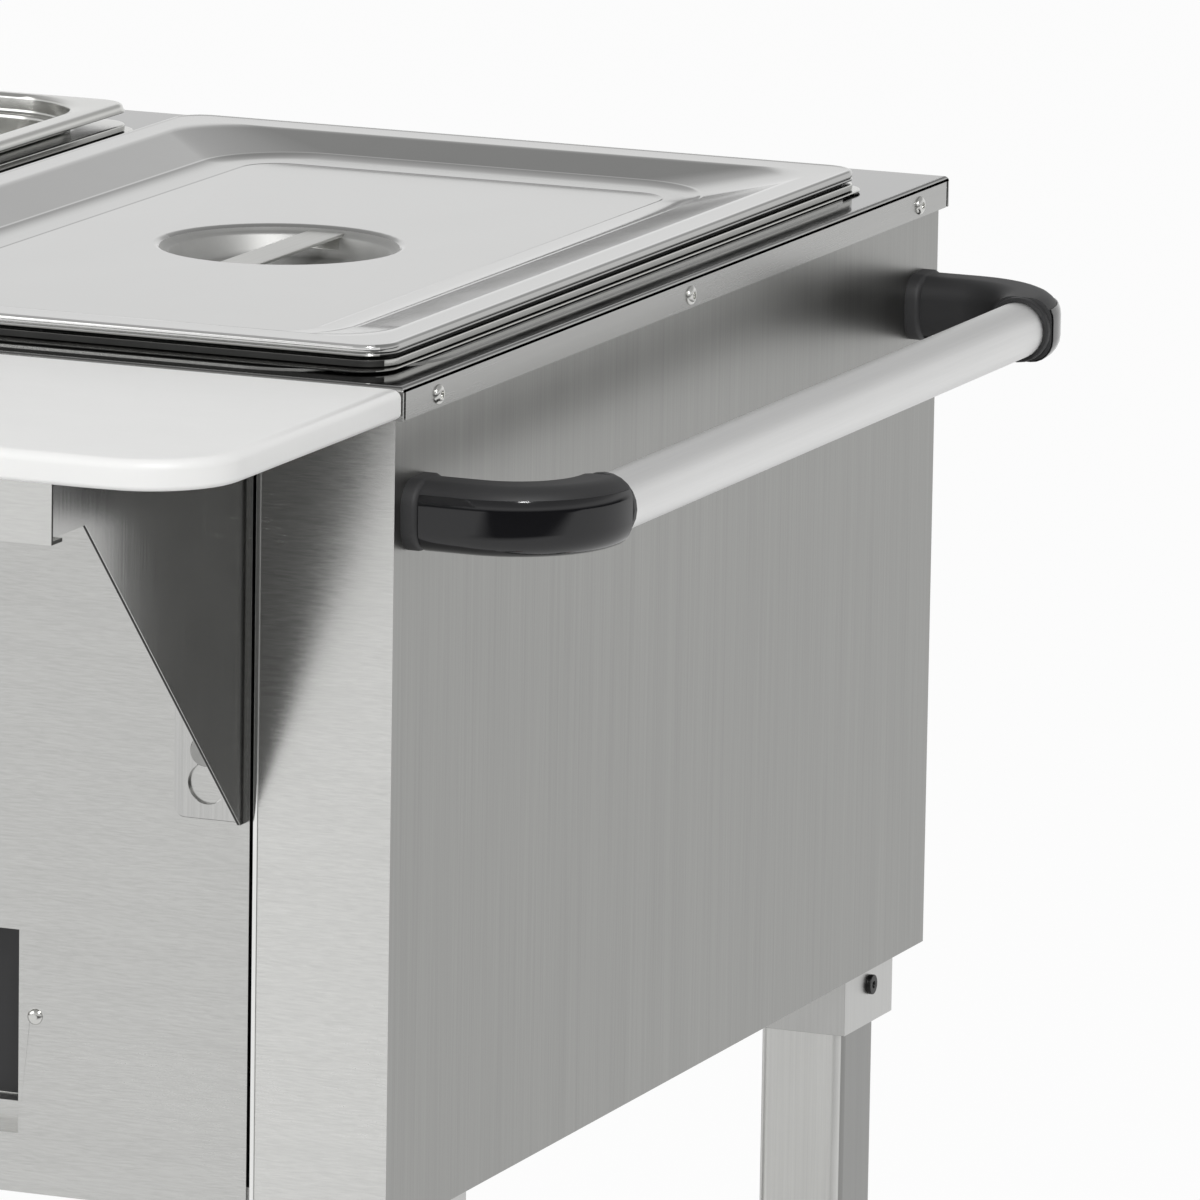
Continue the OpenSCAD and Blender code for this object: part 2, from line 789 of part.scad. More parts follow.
module food_pan() {
    tub(pan_out_w, pan_out_d, pan_out_r, pan_z, pan_t, pan_z - pan_h);
    flange(pan_w, pan_d, pan_r, pan_out_w - pan_t, pan_out_d - pan_t, pan_out_r - pan_t / 2, pan_z, pan_t);
    rolled_rim(pan_z, pan_rim_h);
}
module left_food_pan() color("lightgray") well_child(well_xs[0]) food_pan();
module middle_food_pan() color("lightgray") well_child(well_xs[1]) food_pan();
module right_food_pan() color("lightgray") well_child(well_xs[2]) food_pan();

// The insert pan stands on the food pan's flange with the shoulder under its rim
module insert_body() {
    shoulder_w_out = pan_out_w + 2 * shoulder_w;
    shoulder_d_out = pan_out_d + 2 * shoulder_w;
    shoulder_r = pan_out_r + shoulder_w;
    tub(insert_out_w, insert_out_d, insert_out_r, pan_z + pan_t, pan_t, insert_z - insert_h);
    flange(shoulder_w_out, shoulder_d_out, shoulder_r, insert_out_w - pan_t, insert_out_d - pan_t,
        insert_out_r - pan_t / 2, pan_z + pan_t, pan_t);
    difference() {
        round_plate(shoulder_w_out, shoulder_d_out, shoulder_r, pan_z, insert_z - pan_z);
        round_plate(shoulder_w_out - 2 * pan_t, shoulder_d_out - 2 * pan_t, shoulder_r - pan_t,
            pan_z - over, insert_z - pan_z + 2 * over);
    }
    flange(pan_w, pan_d, pan_r, shoulder_w_out - pan_t, shoulder_d_out - pan_t, shoulder_r - pan_t / 2,
        insert_z, pan_t);
    rolled_rim(insert_z, insert_rim_h);
}
module insert_pan() color("whitesmoke") well_child(well_xs[1]) insert_body();

// The lid's slopes run round the corner centres of its raised middle
slope_r = lid_middle_r + lid_middle_w;
slope_w = pan_w;
slope_d = pan_d;

module lid_slope() {
    sweep(slope_w, slope_d, slope_r) polygon([
        [slope_r - lid_rim_w + pan_t, lid_z],
        [slope_r - lid_rim_w + pan_t, lid_z - pan_t],
        [slope_r - lid_slope_w, channel_z - pan_t],
        [slope_r - lid_middle_w, channel_z - pan_t],
        [slope_r - lid_middle_w - lid_middle_h, middle_z - pan_t],
        [slope_r - lid_middle_w - lid_middle_h, middle_z],
        [slope_r - lid_middle_w, middle_z],
        [slope_r - lid_middle_w + lid_middle_h, channel_z],
        [slope_r - lid_slope_w - pan_t, channel_z],
        [slope_r - lid_rim_w, lid_z],
    ]);
}

module recess_shape() {
    translate([0, 0, middle_z - recess_h - pan_t]) rotate_extrude($fn = 96) polygon([
        [0, 0],
        [recess_floor_r, 0],
        [recess_wall_r, recess_h + pan_t - recess_edge_h],
        [recess_r, recess_h + pan_t],
        [0, recess_h + pan_t],
    ]);
}

module lid() difference() {
    union() {
        flange(pan_w, pan_d, pan_r, pan_w - 2 * lid_rim_w, pan_d - 2 * lid_rim_w,
            slope_r - lid_rim_w, lid_z, pan_t);
        rolled_rim(lid_z, lid_h);
        lid_slope();
        round_plate(pan_w - 2 * lid_middle_w - lid_middle_h, pan_d - 2 * lid_middle_w - lid_middle_h,
            lid_middle_r - lid_middle_h / 2, middle_z - pan_t, pan_t);
        recess_shape();
    }
    translate([0, 0, pan_t]) recess_shape();
}
module left_lid() color("whitesmoke") well_child(well_xs[0]) lid();
module right_lid() color("whitesmoke") well_child(well_xs[2]) lid();

// The strap spans the recess from front to back, a little below the raised middle
// Its ends turn down along the wall of the recess, clear of the wall at their corners
wall_lean = (recess_wall_r - recess_floor_r) / (recess_h + pan_t - recess_edge_h);
function wall_y(drop) =
    sqrt(pow(recess_wall_r - wall_lean * (drop + pan_t - recess_edge_h), 2) - pow(strap_w / 2, 2)) - seat_gap;

module strap() {
    end_y = wall_y(strap_drop);
    foot_y = wall_y(strap_drop + strap_end_h);
    translate([-strap_w / 2, 0, middle_z - strap_drop]) rotate([90, 0, 90]) linear_extrude(strap_w) polygon([
        [-end_y, 0],
        [end_y, 0],
        [foot_y, -strap_end_h],
        [foot_y - strap_t, -strap_end_h],
        [end_y - 2 * strap_t, -strap_t],
        [2 * strap_t - end_y, -strap_t],
        [strap_t - foot_y, -strap_end_h],
        [-foot_y, -strap_end_h],
    ]);
}
module left_lid_strap() color("silver") well_child(well_xs[0]) strap();
module right_lid_strap() color("silver") well_child(well_xs[2]) strap();

// Cutting board and its carrier

module board_outline() {
    translate([-table_w / 2, board_front + board_r]) square([table_w, board_d - board_r]);
    translate([board_r - table_w / 2, board_front]) square([table_w - 2 * board_r, board_r]);
    for (s = [-1, 1]) translate([s * (table_w / 2 - board_r), board_front + board_r]) circle(board_r);
}

module cutting_board() color("white") place() difference() {
    translate([0, 0, board_z]) linear_extrude(board_t) board_outline();
    for (x = peg_xs) translate([x, rail_front + rail_flange / 2, board_z - over])
        cylinder(r = peg_r + screw_fit, h = peg_deep + over);
}

module board_pegs() color("silver") place()
    for (x = peg_xs) translate([x, rail_front + rail_flange / 2, board_z + peg_deep - peg_l])
        cylinder(r = peg_r, h = peg_l);

module board_rail() color("silver") place() difference() {
    union() {
        block([-rail_x, rail_front, board_z - rail_h], [rail_x, rail_front + bracket_t, board_z]);
        block([-rail_x, rail_front, board_z - bracket_t], [rail_x, rail_front + rail_flange, board_z]);
        block([-rail_x, rail_front, board_z - rail_h],
            [rail_x, rail_front + rail_hem, board_z - rail_h + bracket_t]);
    }
    for (x = peg_xs) translate([x, rail_front + rail_flange / 2, board_z - bracket_t - over])
        cylinder(r = peg_r + 2 * screw_fit, h = bracket_t + 2 * over);
}

module keyhole(z) {
    rod_y([keyhole_x, -cab_y - 2 * bracket_t, z], keyhole_r, 3 * bracket_t);
    rod_y([keyhole_x, -cab_y - 2 * bracket_t, z + keyhole_lift], hook_r + hook_play, 3 * bracket_t);
    block([keyhole_x - hook_r - hook_play, -cab_y - 2 * bracket_t, z],
        [keyhole_x + hook_r + hook_play, -cab_y + bracket_t, z + keyhole_lift]);
}

// A bent sheet: web, back flange with two keyholes, and top flange under the board
module bracket() {
    nose_y = rail_front + bracket_t;
    wall_y = -cab_y;
    under_z = board_z - bracket_t;
    nose_z = board_z - rail_h + bracket_t;
    foot_z = top_z - bracket_drop;
    translate([web_x - bracket_t, 0, 0]) rotate([90, 0, 90]) linear_extrude(bracket_t) polygon([
        [nose_y, nose_z],
        [nose_y + nose_l, nose_z],
        [wall_y - bracket_notch, foot_z],
        [wall_y, foot_z],
        [wall_y, flange_top],
        [wall_y - bracket_notch, flange_top],
        [wall_y - bracket_notch, under_z],
        [nose_y, under_z],
    ]);
    difference() {
        block([web_x - bracket_flange, wall_y - bracket_t, foot_z], [web_x, wall_y, flange_top]);
        for (z = keyhole_zs) keyhole(z);
    }
    block([web_x - bracket_flange, rail_front + rail_flange + seat_gap, under_z],
        [web_x, wall_y - bracket_notch, board_z]);
}
module right_bracket() color("silver") place() bracket();
module left_bracket() color("silver") place() mirror([1, 0, 0]) bracket();

module bracket_screws() color("gray") place() for (s = [-1, 1], z = keyhole_zs) {
    head_y = -cab_y - bracket_t - seat_gap - hook_head_t;
    difference() {
        rod_y([s * keyhole_x, head_y, z + keyhole_lift], hook_head_r, hook_head_t);
        rod_y([s * keyhole_x, head_y - over, z + keyhole_lift], hook_r / 2, hook_head_t / 2 + over);
    }
    rod_y([s * keyhole_x, head_y + hook_head_t, z + keyhole_lift], hook_r, hook_shank_l);
}

// Button-head screws along the side lips
module lip_screws() color("gray") place() for (s = [-1, 1], y = lip_screw_ys)
    translate([s * table_w / 2, y, top_z - lip_screw_drop]) rotate(s > 0 ? 0 : 180) difference() {
        union() {
            rod_x([0, 0, 0], lip_screw_head_r, lip_screw_head_t);
            rod_x([-lip_screw_l, 0, 0], lip_screw_r, lip_screw_l);
        }
        rod_x([lip_screw_head_t / 2, 0, 0], lip_screw_key_r, lip_screw_head_t);
    }

module panel_rivets() color("gray") place() for (s = [-1, 1]) {
    rod_y([s * rivet_x, -cab_y - rivet_t, knob_z], rivet_r, rivet_t);
    rod_y([s * rivet_x, -cab_y, knob_z], rivet_shank_r, rivet_shank_l);
}

// Push bar

module push_bar() color("silver") place() difference() {
    rod_y([bar_x, -bar_l / 2 - bar_seat, bar_z], bar_r, bar_l + 2 * bar_seat);
    rod_y([bar_x, -bar_l / 2 - bar_seat - over, bar_z], bar_r - bar_wall, bar_l + 2 * (bar_seat + over));
}

// An arm bends from its foot on the side panel round to the end of the bar
module bar_arm() difference() {
    union() {
        translate([bar_x - arm_bend, -bar_l / 2 - arm_straight, bar_z]) rotate(-90)
            rotate_extrude(angle = 90) translate([arm_bend, 0]) circle(arm_r);
        rod_y([bar_x, -bar_l / 2 - arm_straight, bar_z], arm_r, arm_straight);
        rod_x([cab_x, -arm_y, bar_z], arm_r, bar_x - arm_bend - cab_x);
        translate([cab_x, -arm_y, bar_z]) rotate([90, 0, 90])
            linear_extrude(foot_t) round_rect(foot_w, foot_h, foot_h * foot_round_share);
    }
    rod_y([bar_x, -bar_l / 2 - bar_seat - seat_gap, bar_z], bar_r + run_fit, bar_l);
    for (o = [-1, 1])
        rod_x([cab_x - over, -arm_y + o * bolt_spread / 2, bar_z], bolt_r + screw_fit,
            bolt_l - panel_t + seat_gap + over);
}
module front_bar_arm() color("black") place() bar_arm();
module rear_bar_arm() color("black") place() mirror([0, 1, 0]) bar_arm();

module bar_bolts() color("gray") place() for (e = [-1, 1], o = [-1, 1])
    translate([cab_x - panel_t, e * arm_y + o * bolt_spread / 2, bar_z]) {
        rod_x([-bolt_head_t, 0, 0], bolt_head_r, bolt_head_t);
        rod_x([0, 0, 0], bolt_r, bolt_l);
    }

// Legs, sockets and shelf

// One socket, for the leg in the corner of +X and +Y
module socket() difference() {
    hole = leg_w / 2 + sleeve_fit;
    socket_y = leg_y - hole - socket_t;
    block([leg_x - hole - socket_t, socket_y, socket_bottom], [socket_x, socket_y + socket_d, floor_z]);
    block([leg_x - hole, leg_y - hole, socket_bottom - over], [leg_x + hole, leg_y + hole, leg_top]);
    block([leg_x - hole, leg_y + hole + socket_t, socket_bottom - over],
        [leg_x + hole, socket_y + socket_d - socket_t, leg_top]);
    rod_x([leg_x, leg_y + leg_screw_y, leg_screw_z], leg_screw_r + screw_fit, leg_w);
}

// A piece drawn for the corner of +X and +Y, mirrored to another corner
module corner(c) {
    scale([c[0], c[1], 1]) children();
}

module leg_sockets() color("silver") place() for (c = leg_ends) corner(c) socket();

module leg() difference() {
    translate([leg_x, leg_y, 0]) difference() {
        round_plate(leg_w, leg_w, leg_r, leg_bottom, leg_top - leg_bottom);
        round_plate(leg_w - 2 * leg_wall, leg_w - 2 * leg_wall, leg_r - leg_wall,
            leg_bottom - over, leg_top - leg_bottom + 2 * over);
    }
    rod_x([leg_x, leg_y + leg_screw_y, leg_screw_z], leg_screw_r + screw_fit, leg_w);
    rod_x([leg_x - leg_w, leg_y, shelf_screw_z], leg_screw_r + screw_fit, leg_w);
}
module leg_in(c) color("lightgray") place() corner(c) leg();
module front_left_leg() leg_in(leg_ends[0]);
module front_right_leg() leg_in(leg_ends[1]);
module rear_right_leg() leg_in(leg_ends[2]);
module rear_left_leg() leg_in(leg_ends[3]);

// A socket screw along X with its head at the start
module leg_screw() difference() {
    union() {
        rod_x([-leg_screw_head_t, 0, 0], leg_screw_head_r, leg_screw_head_t);
        rod_x([0, 0, 0], leg_screw_r, leg_screw_l);
    }
    rod_x([-leg_screw_head_t - over, 0, 0], leg_screw_key_r, leg_screw_key_d + over);
}

module leg_screws() color("gray") place() for (c = leg_ends) corner(c) {
    translate([socket_x, leg_y + leg_screw_y, leg_screw_z]) rotate(180) leg_screw();
    translate([leg_x - leg_w / 2 - sleeve_fit - socket_t, leg_y, shelf_screw_z]) leg_screw();
}

module undershelf() color("silver") place() difference() {
    hole = leg_w / 2 + sleeve_fit;
    union() {
        block([-shelf_half_w, -shelf_half_d, shelf_z - shelf_t], [shelf_half_w, shelf_half_d, shelf_z]);
        difference() {
            block([-shelf_half_w, -shelf_half_d, shelf_z - shelf_edge],
                [shelf_half_w, shelf_half_d, shelf_z]);
            block([shelf_t - shelf_half_w, shelf_t - shelf_half_d, shelf_z - shelf_edge - over],
                [shelf_half_w - shelf_t, shelf_half_d - shelf_t, shelf_z]);
        }
        for (c = leg_ends) corner(c)
            block([leg_x - hole - socket_t, leg_y - hole - socket_t, shelf_z - shelf_t - shelf_collar],
                [leg_x + hole + socket_t, leg_y + hole + socket_t, shelf_z]);
    }
    for (c = leg_ends) corner(c) {
        block([leg_x - hole, leg_y - hole, shelf_z - shelf_t - shelf_collar - over],
            [leg_x + hole, leg_y + hole, shelf_z + over]);
        rod_x([leg_x - leg_w, leg_y, shelf_screw_z], leg_screw_r + screw_fit, leg_w);
    }
}

// Casters, with the wheels trailing toward the push bar

module caster_place(c) {
    place() translate([c[0] * leg_x, c[1] * leg_y, 0]) children();
}

module caster_stem() {
    plug_w = leg_w - 2 * (leg_wall + plug_gap);
    round_plate(plug_w, plug_w, leg_r - leg_wall, caster_h, plug_h);
    round_plate(leg_w, leg_w, leg_r, caster_h - cap_t, cap_t);
    translate([0, 0, cup_z]) cylinder(r = bearing_r, h = cup_h);
    translate([0, 0, crown_z - seat_gap]) cylinder(r = swivel_r, h = crown_h + 2 * seat_gap);
    translate([0, 0, crown_z - seat_gap - head_t]) cylinder(r = head_r, h = head_t);
}
module caster_stems() color("gray") for (c = leg_ends) caster_place(c) caster_stem();

// One cheek of the fork, seen along Y
module cheek_outline(ear) {
    polygon([
        [-bearing_r, crown_z + crown_h],
        [-bearing_r, crown_z],
        [trail - boss_r, axle_z],
        [trail + boss_r, axle_z],
        [bearing_r + boss_r, crown_z],
        [bearing_r, crown_z + crown_h],
    ]);
    translate([trail, axle_z]) circle(boss_r);
    if (ear) {
        translate([pedal_x, pedal_z]) circle(ear_r);
        polygon([
            [bearing_r, crown_z + crown_h / 2],
            [pedal_x, pedal_z + ear_r],
            [pedal_x, pedal_z - ear_r],
            [trail + boss_r, crown_z - 2 * ear_r],
            [trail, crown_z - ear_r],
        ]);
    }
}

module fork(ear) {
    difference() {
        union() {
            translate([0, 0, crown_z]) cylinder(r = bearing_r, h = crown_h);
            block([-bearing_r, -cheek_y - cheek_t, crown_z],
                [bearing_r, cheek_y + cheek_t, crown_z + crown_h / 3]);
            for (y = [-cheek_y - cheek_t, cheek_y])
                translate([0, y + cheek_t, 0]) rotate([90, 0, 0]) linear_extrude(cheek_t) difference() {
                    cheek_outline(ear);
                    translate([-bearing_r - over, crown_z + crown_h / 3])
                        square([2 * bearing_r + 2 * over, crown_h]);
                }
        }
        translate([0, 0, crown_z - over]) cylinder(r = swivel_r + run_fit, h = crown_h + 2 * over);
        rod_y([trail, -cheek_y - cheek_t - over, axle_z], axle_r + screw_fit, 2 * (cheek_y + cheek_t + over));
    }
    if (ear) rod_y([pedal_x, -cheek_y - cheek_t / 2, pedal_z], pedal_pin_r, 2 * cheek_y + cheek_t);
    rod_y([trail, -cheek_y - cheek_t - axle_gap, axle_z], axle_r, 2 * (cheek_y + cheek_t + axle_gap));
    for (y = [-cheek_y - cheek_t - axle_gap - axle_head_t, cheek_y + cheek_t + axle_gap])
        rod_y([trail, y, axle_z], axle_head_r, axle_head_t);
}
module front_left_fork() color("lightsteelblue") caster_place(leg_ends[0]) fork(false);
module front_right_fork() color("lightsteelblue") caster_place(leg_ends[1]) fork(true);
module rear_right_fork() color("lightsteelblue") caster_place(leg_ends[2]) fork(true);
module rear_left_fork() color("lightsteelblue") caster_place(leg_ends[3]) fork(false);

module wheel() translate([trail, 0, axle_z]) rotate([90, 0, 0]) rotate_extrude($fn = 96) polygon([
    [axle_r + run_fit, -hub_w / 2],
    [hub_r, -hub_w / 2],
    [hub_r, -web_t / 2],
    [rim_r, -web_t / 2],
    [rim_r, -wheel_w / 2],
    [wheel_r - tread_edge, -wheel_w / 2],
    [wheel_r, tread_edge - wheel_w / 2],
    [wheel_r, wheel_w / 2 - tread_edge],
    [wheel_r - tread_edge, wheel_w / 2],
    [rim_r, wheel_w / 2],
    [rim_r, web_t / 2],
    [hub_r, web_t / 2],
    [hub_r, hub_w / 2],
    [axle_r + run_fit, hub_w / 2],
]);
module front_left_wheel() color("dimgray") caster_place(leg_ends[0]) wheel();
module front_right_wheel() color("dimgray") caster_place(leg_ends[1]) wheel();
module rear_right_wheel() color("dimgray") caster_place(leg_ends[2]) wheel();
module rear_left_wheel() color("dimgray") caster_place(leg_ends[3]) wheel();

// The foot pedal turns on a pin between the ears of its fork
module brake() difference() {
    union() {
        rod_y([pedal_x, -pedal_w / 2, pedal_z], pedal_barrel_r, pedal_w);
        translate([0, pedal_w / 2, 0]) rotate([90, 0, 0]) linear_extrude(pedal_w) polygon([
            [pedal_x, pedal_z + pedal_barrel_r],
            [pedal_x + pedal_l, pedal_z + pedal_barrel_r - pedal_fall],
            [pedal_x + pedal_l, pedal_z + pedal_barrel_r - pedal_fall - pedal_t],
            [pedal_x, pedal_z],
        ]);
    }
    rod_y([pedal_x, -pedal_w, pedal_z], pedal_pin_r + run_fit, 2 * pedal_w);
}
module front_brake() color("firebrick") caster_place(leg_ends[1]) brake();
module rear_brake() color("firebrick") caster_place(leg_ends[2]) brake();

table_top();
right_side_panel();
left_side_panel();
front_panel();
back_panel();
cabinet_floor();
left_well();
middle_well();
right_well();
heating_elements();
control_panel();
control_overlay();
heat_controls();
indicator_lights();
left_knob();
middle_knob();
right_knob();
terminal_block();
cord_gland();
left_spillage_pan();
middle_spillage_pan();
right_spillage_pan();
left_food_pan();
middle_food_pan();
right_food_pan();
insert_pan();
left_lid();
right_lid();
left_lid_strap();
right_lid_strap();
cutting_board();
board_pegs();
board_rail();
right_bracket();
left_bracket();
bracket_screws();
lip_screws();
panel_rivets();
push_bar();
front_bar_arm();
rear_bar_arm();
bar_bolts();
leg_sockets();
front_left_leg();
front_right_leg();
rear_right_leg();
rear_left_leg();
leg_screws();
undershelf();
caster_stems();
front_left_fork();
front_right_fork();
rear_right_fork();
rear_left_fork();
front_left_wheel();
front_right_wheel();
rear_right_wheel();
rear_left_wheel();
front_brake();
rear_brake();
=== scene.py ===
import json
import math

import bmesh
import bpy
from mathutils import Matrix, Vector

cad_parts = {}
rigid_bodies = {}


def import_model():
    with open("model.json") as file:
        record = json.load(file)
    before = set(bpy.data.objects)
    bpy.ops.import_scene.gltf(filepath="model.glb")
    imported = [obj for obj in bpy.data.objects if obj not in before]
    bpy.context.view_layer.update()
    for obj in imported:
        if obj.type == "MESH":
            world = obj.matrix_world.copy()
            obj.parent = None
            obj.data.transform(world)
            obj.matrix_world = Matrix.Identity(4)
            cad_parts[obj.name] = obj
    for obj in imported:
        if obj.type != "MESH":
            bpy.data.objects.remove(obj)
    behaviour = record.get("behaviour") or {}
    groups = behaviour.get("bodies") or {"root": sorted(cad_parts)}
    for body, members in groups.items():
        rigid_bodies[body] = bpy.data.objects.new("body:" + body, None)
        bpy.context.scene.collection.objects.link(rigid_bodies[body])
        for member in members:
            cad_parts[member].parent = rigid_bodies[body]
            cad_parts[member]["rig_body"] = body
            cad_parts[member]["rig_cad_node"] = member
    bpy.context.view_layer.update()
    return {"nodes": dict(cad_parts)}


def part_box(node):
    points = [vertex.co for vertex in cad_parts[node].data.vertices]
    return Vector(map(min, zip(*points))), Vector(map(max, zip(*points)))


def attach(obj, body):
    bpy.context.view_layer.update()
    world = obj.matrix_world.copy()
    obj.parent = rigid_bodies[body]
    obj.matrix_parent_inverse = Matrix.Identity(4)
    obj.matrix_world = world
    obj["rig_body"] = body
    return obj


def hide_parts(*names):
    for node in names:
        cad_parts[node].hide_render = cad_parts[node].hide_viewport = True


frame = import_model()
cad_nodes = frame["nodes"]


# Table top -------------------------------------------------------------------
# One sheet of stainless steel with three openings, pressed up into a border
# round each of them and folded down into lips that stand over the cabinet.

near, mostly, squarely = 0.0002, 0.75, 0.9


def into_scene(thing):
    bpy.context.scene.collection.objects.link(thing)


def select_only(piece):
    bpy.ops.object.select_all(action="DESELECT")
    piece.select_set(True)
    bpy.context.view_layer.objects.active = piece


def select_by(piece, mode, test):
    """Leaves edit mode open with only the elements selected that pass the test."""
    select_only(piece)
    bpy.ops.object.mode_set(mode="EDIT")
    bpy.ops.mesh.select_mode(type=mode)
    bpy.ops.mesh.select_all(action="DESELECT")
    mesh = bmesh.from_edit_mesh(piece.data)
    for element in {"VERT": mesh.verts, "EDGE": mesh.edges, "FACE": mesh.faces}[mode]:
        if test(element):
            element.select_set(True)
    mesh.select_flush_mode()
    bmesh.update_edit_mesh(piece.data)


def round_selected(width, segments):
    """Rounds the selected edges and leaves edit mode."""
    bpy.ops.mesh.bevel(offset=width, segments=segments, profile=0.5, affect="EDGES")
    bpy.ops.object.mode_set(mode="OBJECT")


def bake_place():
    bpy.ops.object.transform_apply(location=True, rotation=True, scale=True)


def bake_modifiers(piece):
    select_only(piece)
    for modifier in list(piece.modifiers):
        bpy.ops.object.modifier_apply(modifier=modifier.name)


def ease(piece, width, segments=2, angle=35):
    """Rounds the sharp edges of a piece a little, as folding and deburring do."""
    rounding = piece.modifiers.new("eased edges", "BEVEL")
    rounding.width = width
    rounding.segments = segments
    rounding.limit_method = "ANGLE"
    rounding.angle_limit = math.radians(angle)
    rounding.use_clamp_overlap = True
    bake_modifiers(piece)


def hand_over(piece, body, slot, material, *replaced, smooth=40):
    """Gives a piece its finish and body, and hides the frame parts it stands for."""
    select_only(piece)
    bpy.ops.object.shade_smooth_by_angle(angle=math.radians(smooth))
    even = piece.modifiers.new("flat broad faces", "WEIGHTED_NORMAL")
    even.keep_sharp = True
    bake_modifiers(piece)
    piece.data.materials.clear()
    piece.data.materials.append(material)
    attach(piece, body)
    if replaced:
        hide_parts(*replaced)
    return piece


def from_frame(node, name):
    """A merged copy of a frame part's mesh, for edges that the part leaves sharp."""
    piece = cad_nodes[node].copy()
    piece.data = cad_nodes[node].data.copy()
    piece.name = name
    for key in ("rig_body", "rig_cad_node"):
        if key in piece:
            del piece[key]
    piece.parent = None
    into_scene(piece)
    select_only(piece)
    bpy.ops.mesh.customdata_custom_splitnormals_clear()
    bpy.ops.object.mode_set(mode="EDIT")
    bpy.ops.mesh.select_all(action="SELECT")
    bpy.ops.mesh.remove_doubles(threshold=1e-6)
    bpy.ops.mesh.dissolve_limited(angle_limit=math.radians(0.5))
    bpy.ops.object.mode_set(mode="OBJECT")
    return piece


def new_group(name, inputs, outputs):
    group = bpy.data.node_groups.new(name, "ShaderNodeTree")
    for label, kind, value in inputs:
        made = group.interface.new_socket(label, in_out="INPUT", socket_type=kind)
        if value is not None:
            made.default_value = value
    for label, kind in outputs:
        group.interface.new_socket(label, in_out="OUTPUT", socket_type=kind)
    return group, group.nodes.new("NodeGroupInput"), group.nodes.new("NodeGroupOutput")


def number(tree, operation, first, second=None, third=None):
    """A Math node whose inputs are numbers or other nodes' outputs."""
    made = tree.nodes.new("ShaderNodeMath")
    made.operation = operation
    for socket, value in zip(made.inputs, (first, second, third)):
        if value is None:
            continue
        if hasattr(value, "links"):
            tree.links.new(value, socket)
        else:
            socket.default_value = value
    return made.outputs[0]


def noise(tree, vector, scale, detail, roughness):
    made = tree.nodes.new("ShaderNodeTexNoise")
    made.inputs["Scale"].default_value = scale
    made.inputs["Detail"].default_value = detail
    made.inputs["Roughness"].default_value = roughness
    tree.links.new(vector, made.inputs["Vector"])
    return made.outputs["Fac"]


# Brushing: hair lines along one direction, wide faint streaks and a soft cloudiness
brushing, group_in, group_out = new_group(
    "brushing",
    [("Lines", "NodeSocketVector", None), ("Place", "NodeSocketVector", None),
     ("Streaks", "NodeSocketFloat", 0.5), ("Clouds", "NodeSocketFloat", 0.3)],
    [("Tone", "NodeSocketFloat"), ("Gloss", "NodeSocketFloat"), ("Height", "NodeSocketFloat")])
hair = noise(brushing, group_in.outputs["Lines"], 1.0, 5.0, 0.7)
streak = noise(brushing, group_in.outputs["Lines"], 0.11, 2.0, 0.5)
cloud = noise(brushing, group_in.outputs["Place"], 9.0, 3.0, 0.6)
tone = number(brushing, "MULTIPLY_ADD", number(brushing, "SUBTRACT", streak, 0.5),
              group_in.outputs["Streaks"], hair)
tone = number(brushing, "MULTIPLY_ADD", number(brushing, "SUBTRACT", cloud, 0.5),
              group_in.outputs["Clouds"], tone)
brushing.links.new(tone, group_out.inputs["Tone"])
brushing.links.new(number(brushing, "MULTIPLY_ADD", cloud, 0.5, number(
    brushing, "MULTIPLY", hair, 0.5)), group_out.inputs["Gloss"])
brushing.links.new(hair, group_out.inputs["Height"])


def new_material(name, colour, metallic, roughness):
    material = bpy.data.materials.new(name)
    material.use_nodes = True
    material.diffuse_color = (*colour, 1.0)
    shader = material.node_tree.nodes["Principled BSDF"]
    shader.inputs["Base Color"].default_value = (*colour, 1.0)
    shader.inputs["Metallic"].default_value = metallic
    shader.inputs["Roughness"].default_value = roughness
    return material, material.node_tree, shader


def mapped(tree, scale=(1.0, 1.0, 1.0), turn=(0.0, 0.0, 0.0)):
    """Object coordinates, scaled and turned."""
    coordinates = tree.nodes.new("ShaderNodeTexCoord")
    mapping = tree.nodes.new("ShaderNodeMapping")
    mapping.vector_type = "POINT"
    mapping.inputs["Rotation"].default_value = turn
    mapping.inputs["Scale"].default_value = scale
    tree.links.new(coordinates.outputs["Object"], mapping.inputs["Vector"])
    return mapping.outputs["Vector"]


def spread(tree, value, low=0.3, high=0.7, out_low=0.0, out_high=1.0):
    """One range made into another, as by default a noise's range into a factor."""
    made = tree.nodes.new("ShaderNodeMapRange")
    for socket, limit in zip(made.inputs[1:5], (low, high, out_low, out_high)):
        socket.default_value = limit
    tree.links.new(value, made.inputs["Value"])
    return made.outputs["Result"]


def between(tree, factor, first, second):
    made = tree.nodes.new("ShaderNodeMix")
    made.data_type = "RGBA"
    made.inputs["A"].default_value = (*first, 1.0)
    made.inputs["B"].default_value = (*second, 1.0)
    tree.links.new(factor, made.inputs["Factor"])
    return made.outputs["Result"]


def vary_colour(tree, shader, factor, colour, contrast):
    dark = [c * (1.0 - contrast) for c in colour]
    light = [min(1.0, c * (1.0 + contrast)) for c in colour]
    tree.links.new(between(tree, factor, dark, light), shader.inputs["Base Color"])


def raise_surface(tree, shader, height, strength, distance):
    bump = tree.nodes.new("ShaderNodeBump")
    bump.inputs["Strength"].default_value = strength
    bump.inputs["Distance"].default_value = distance
    tree.links.new(height, bump.inputs["Height"])
    tree.links.new(bump.outputs["Normal"], shader.inputs["Normal"])


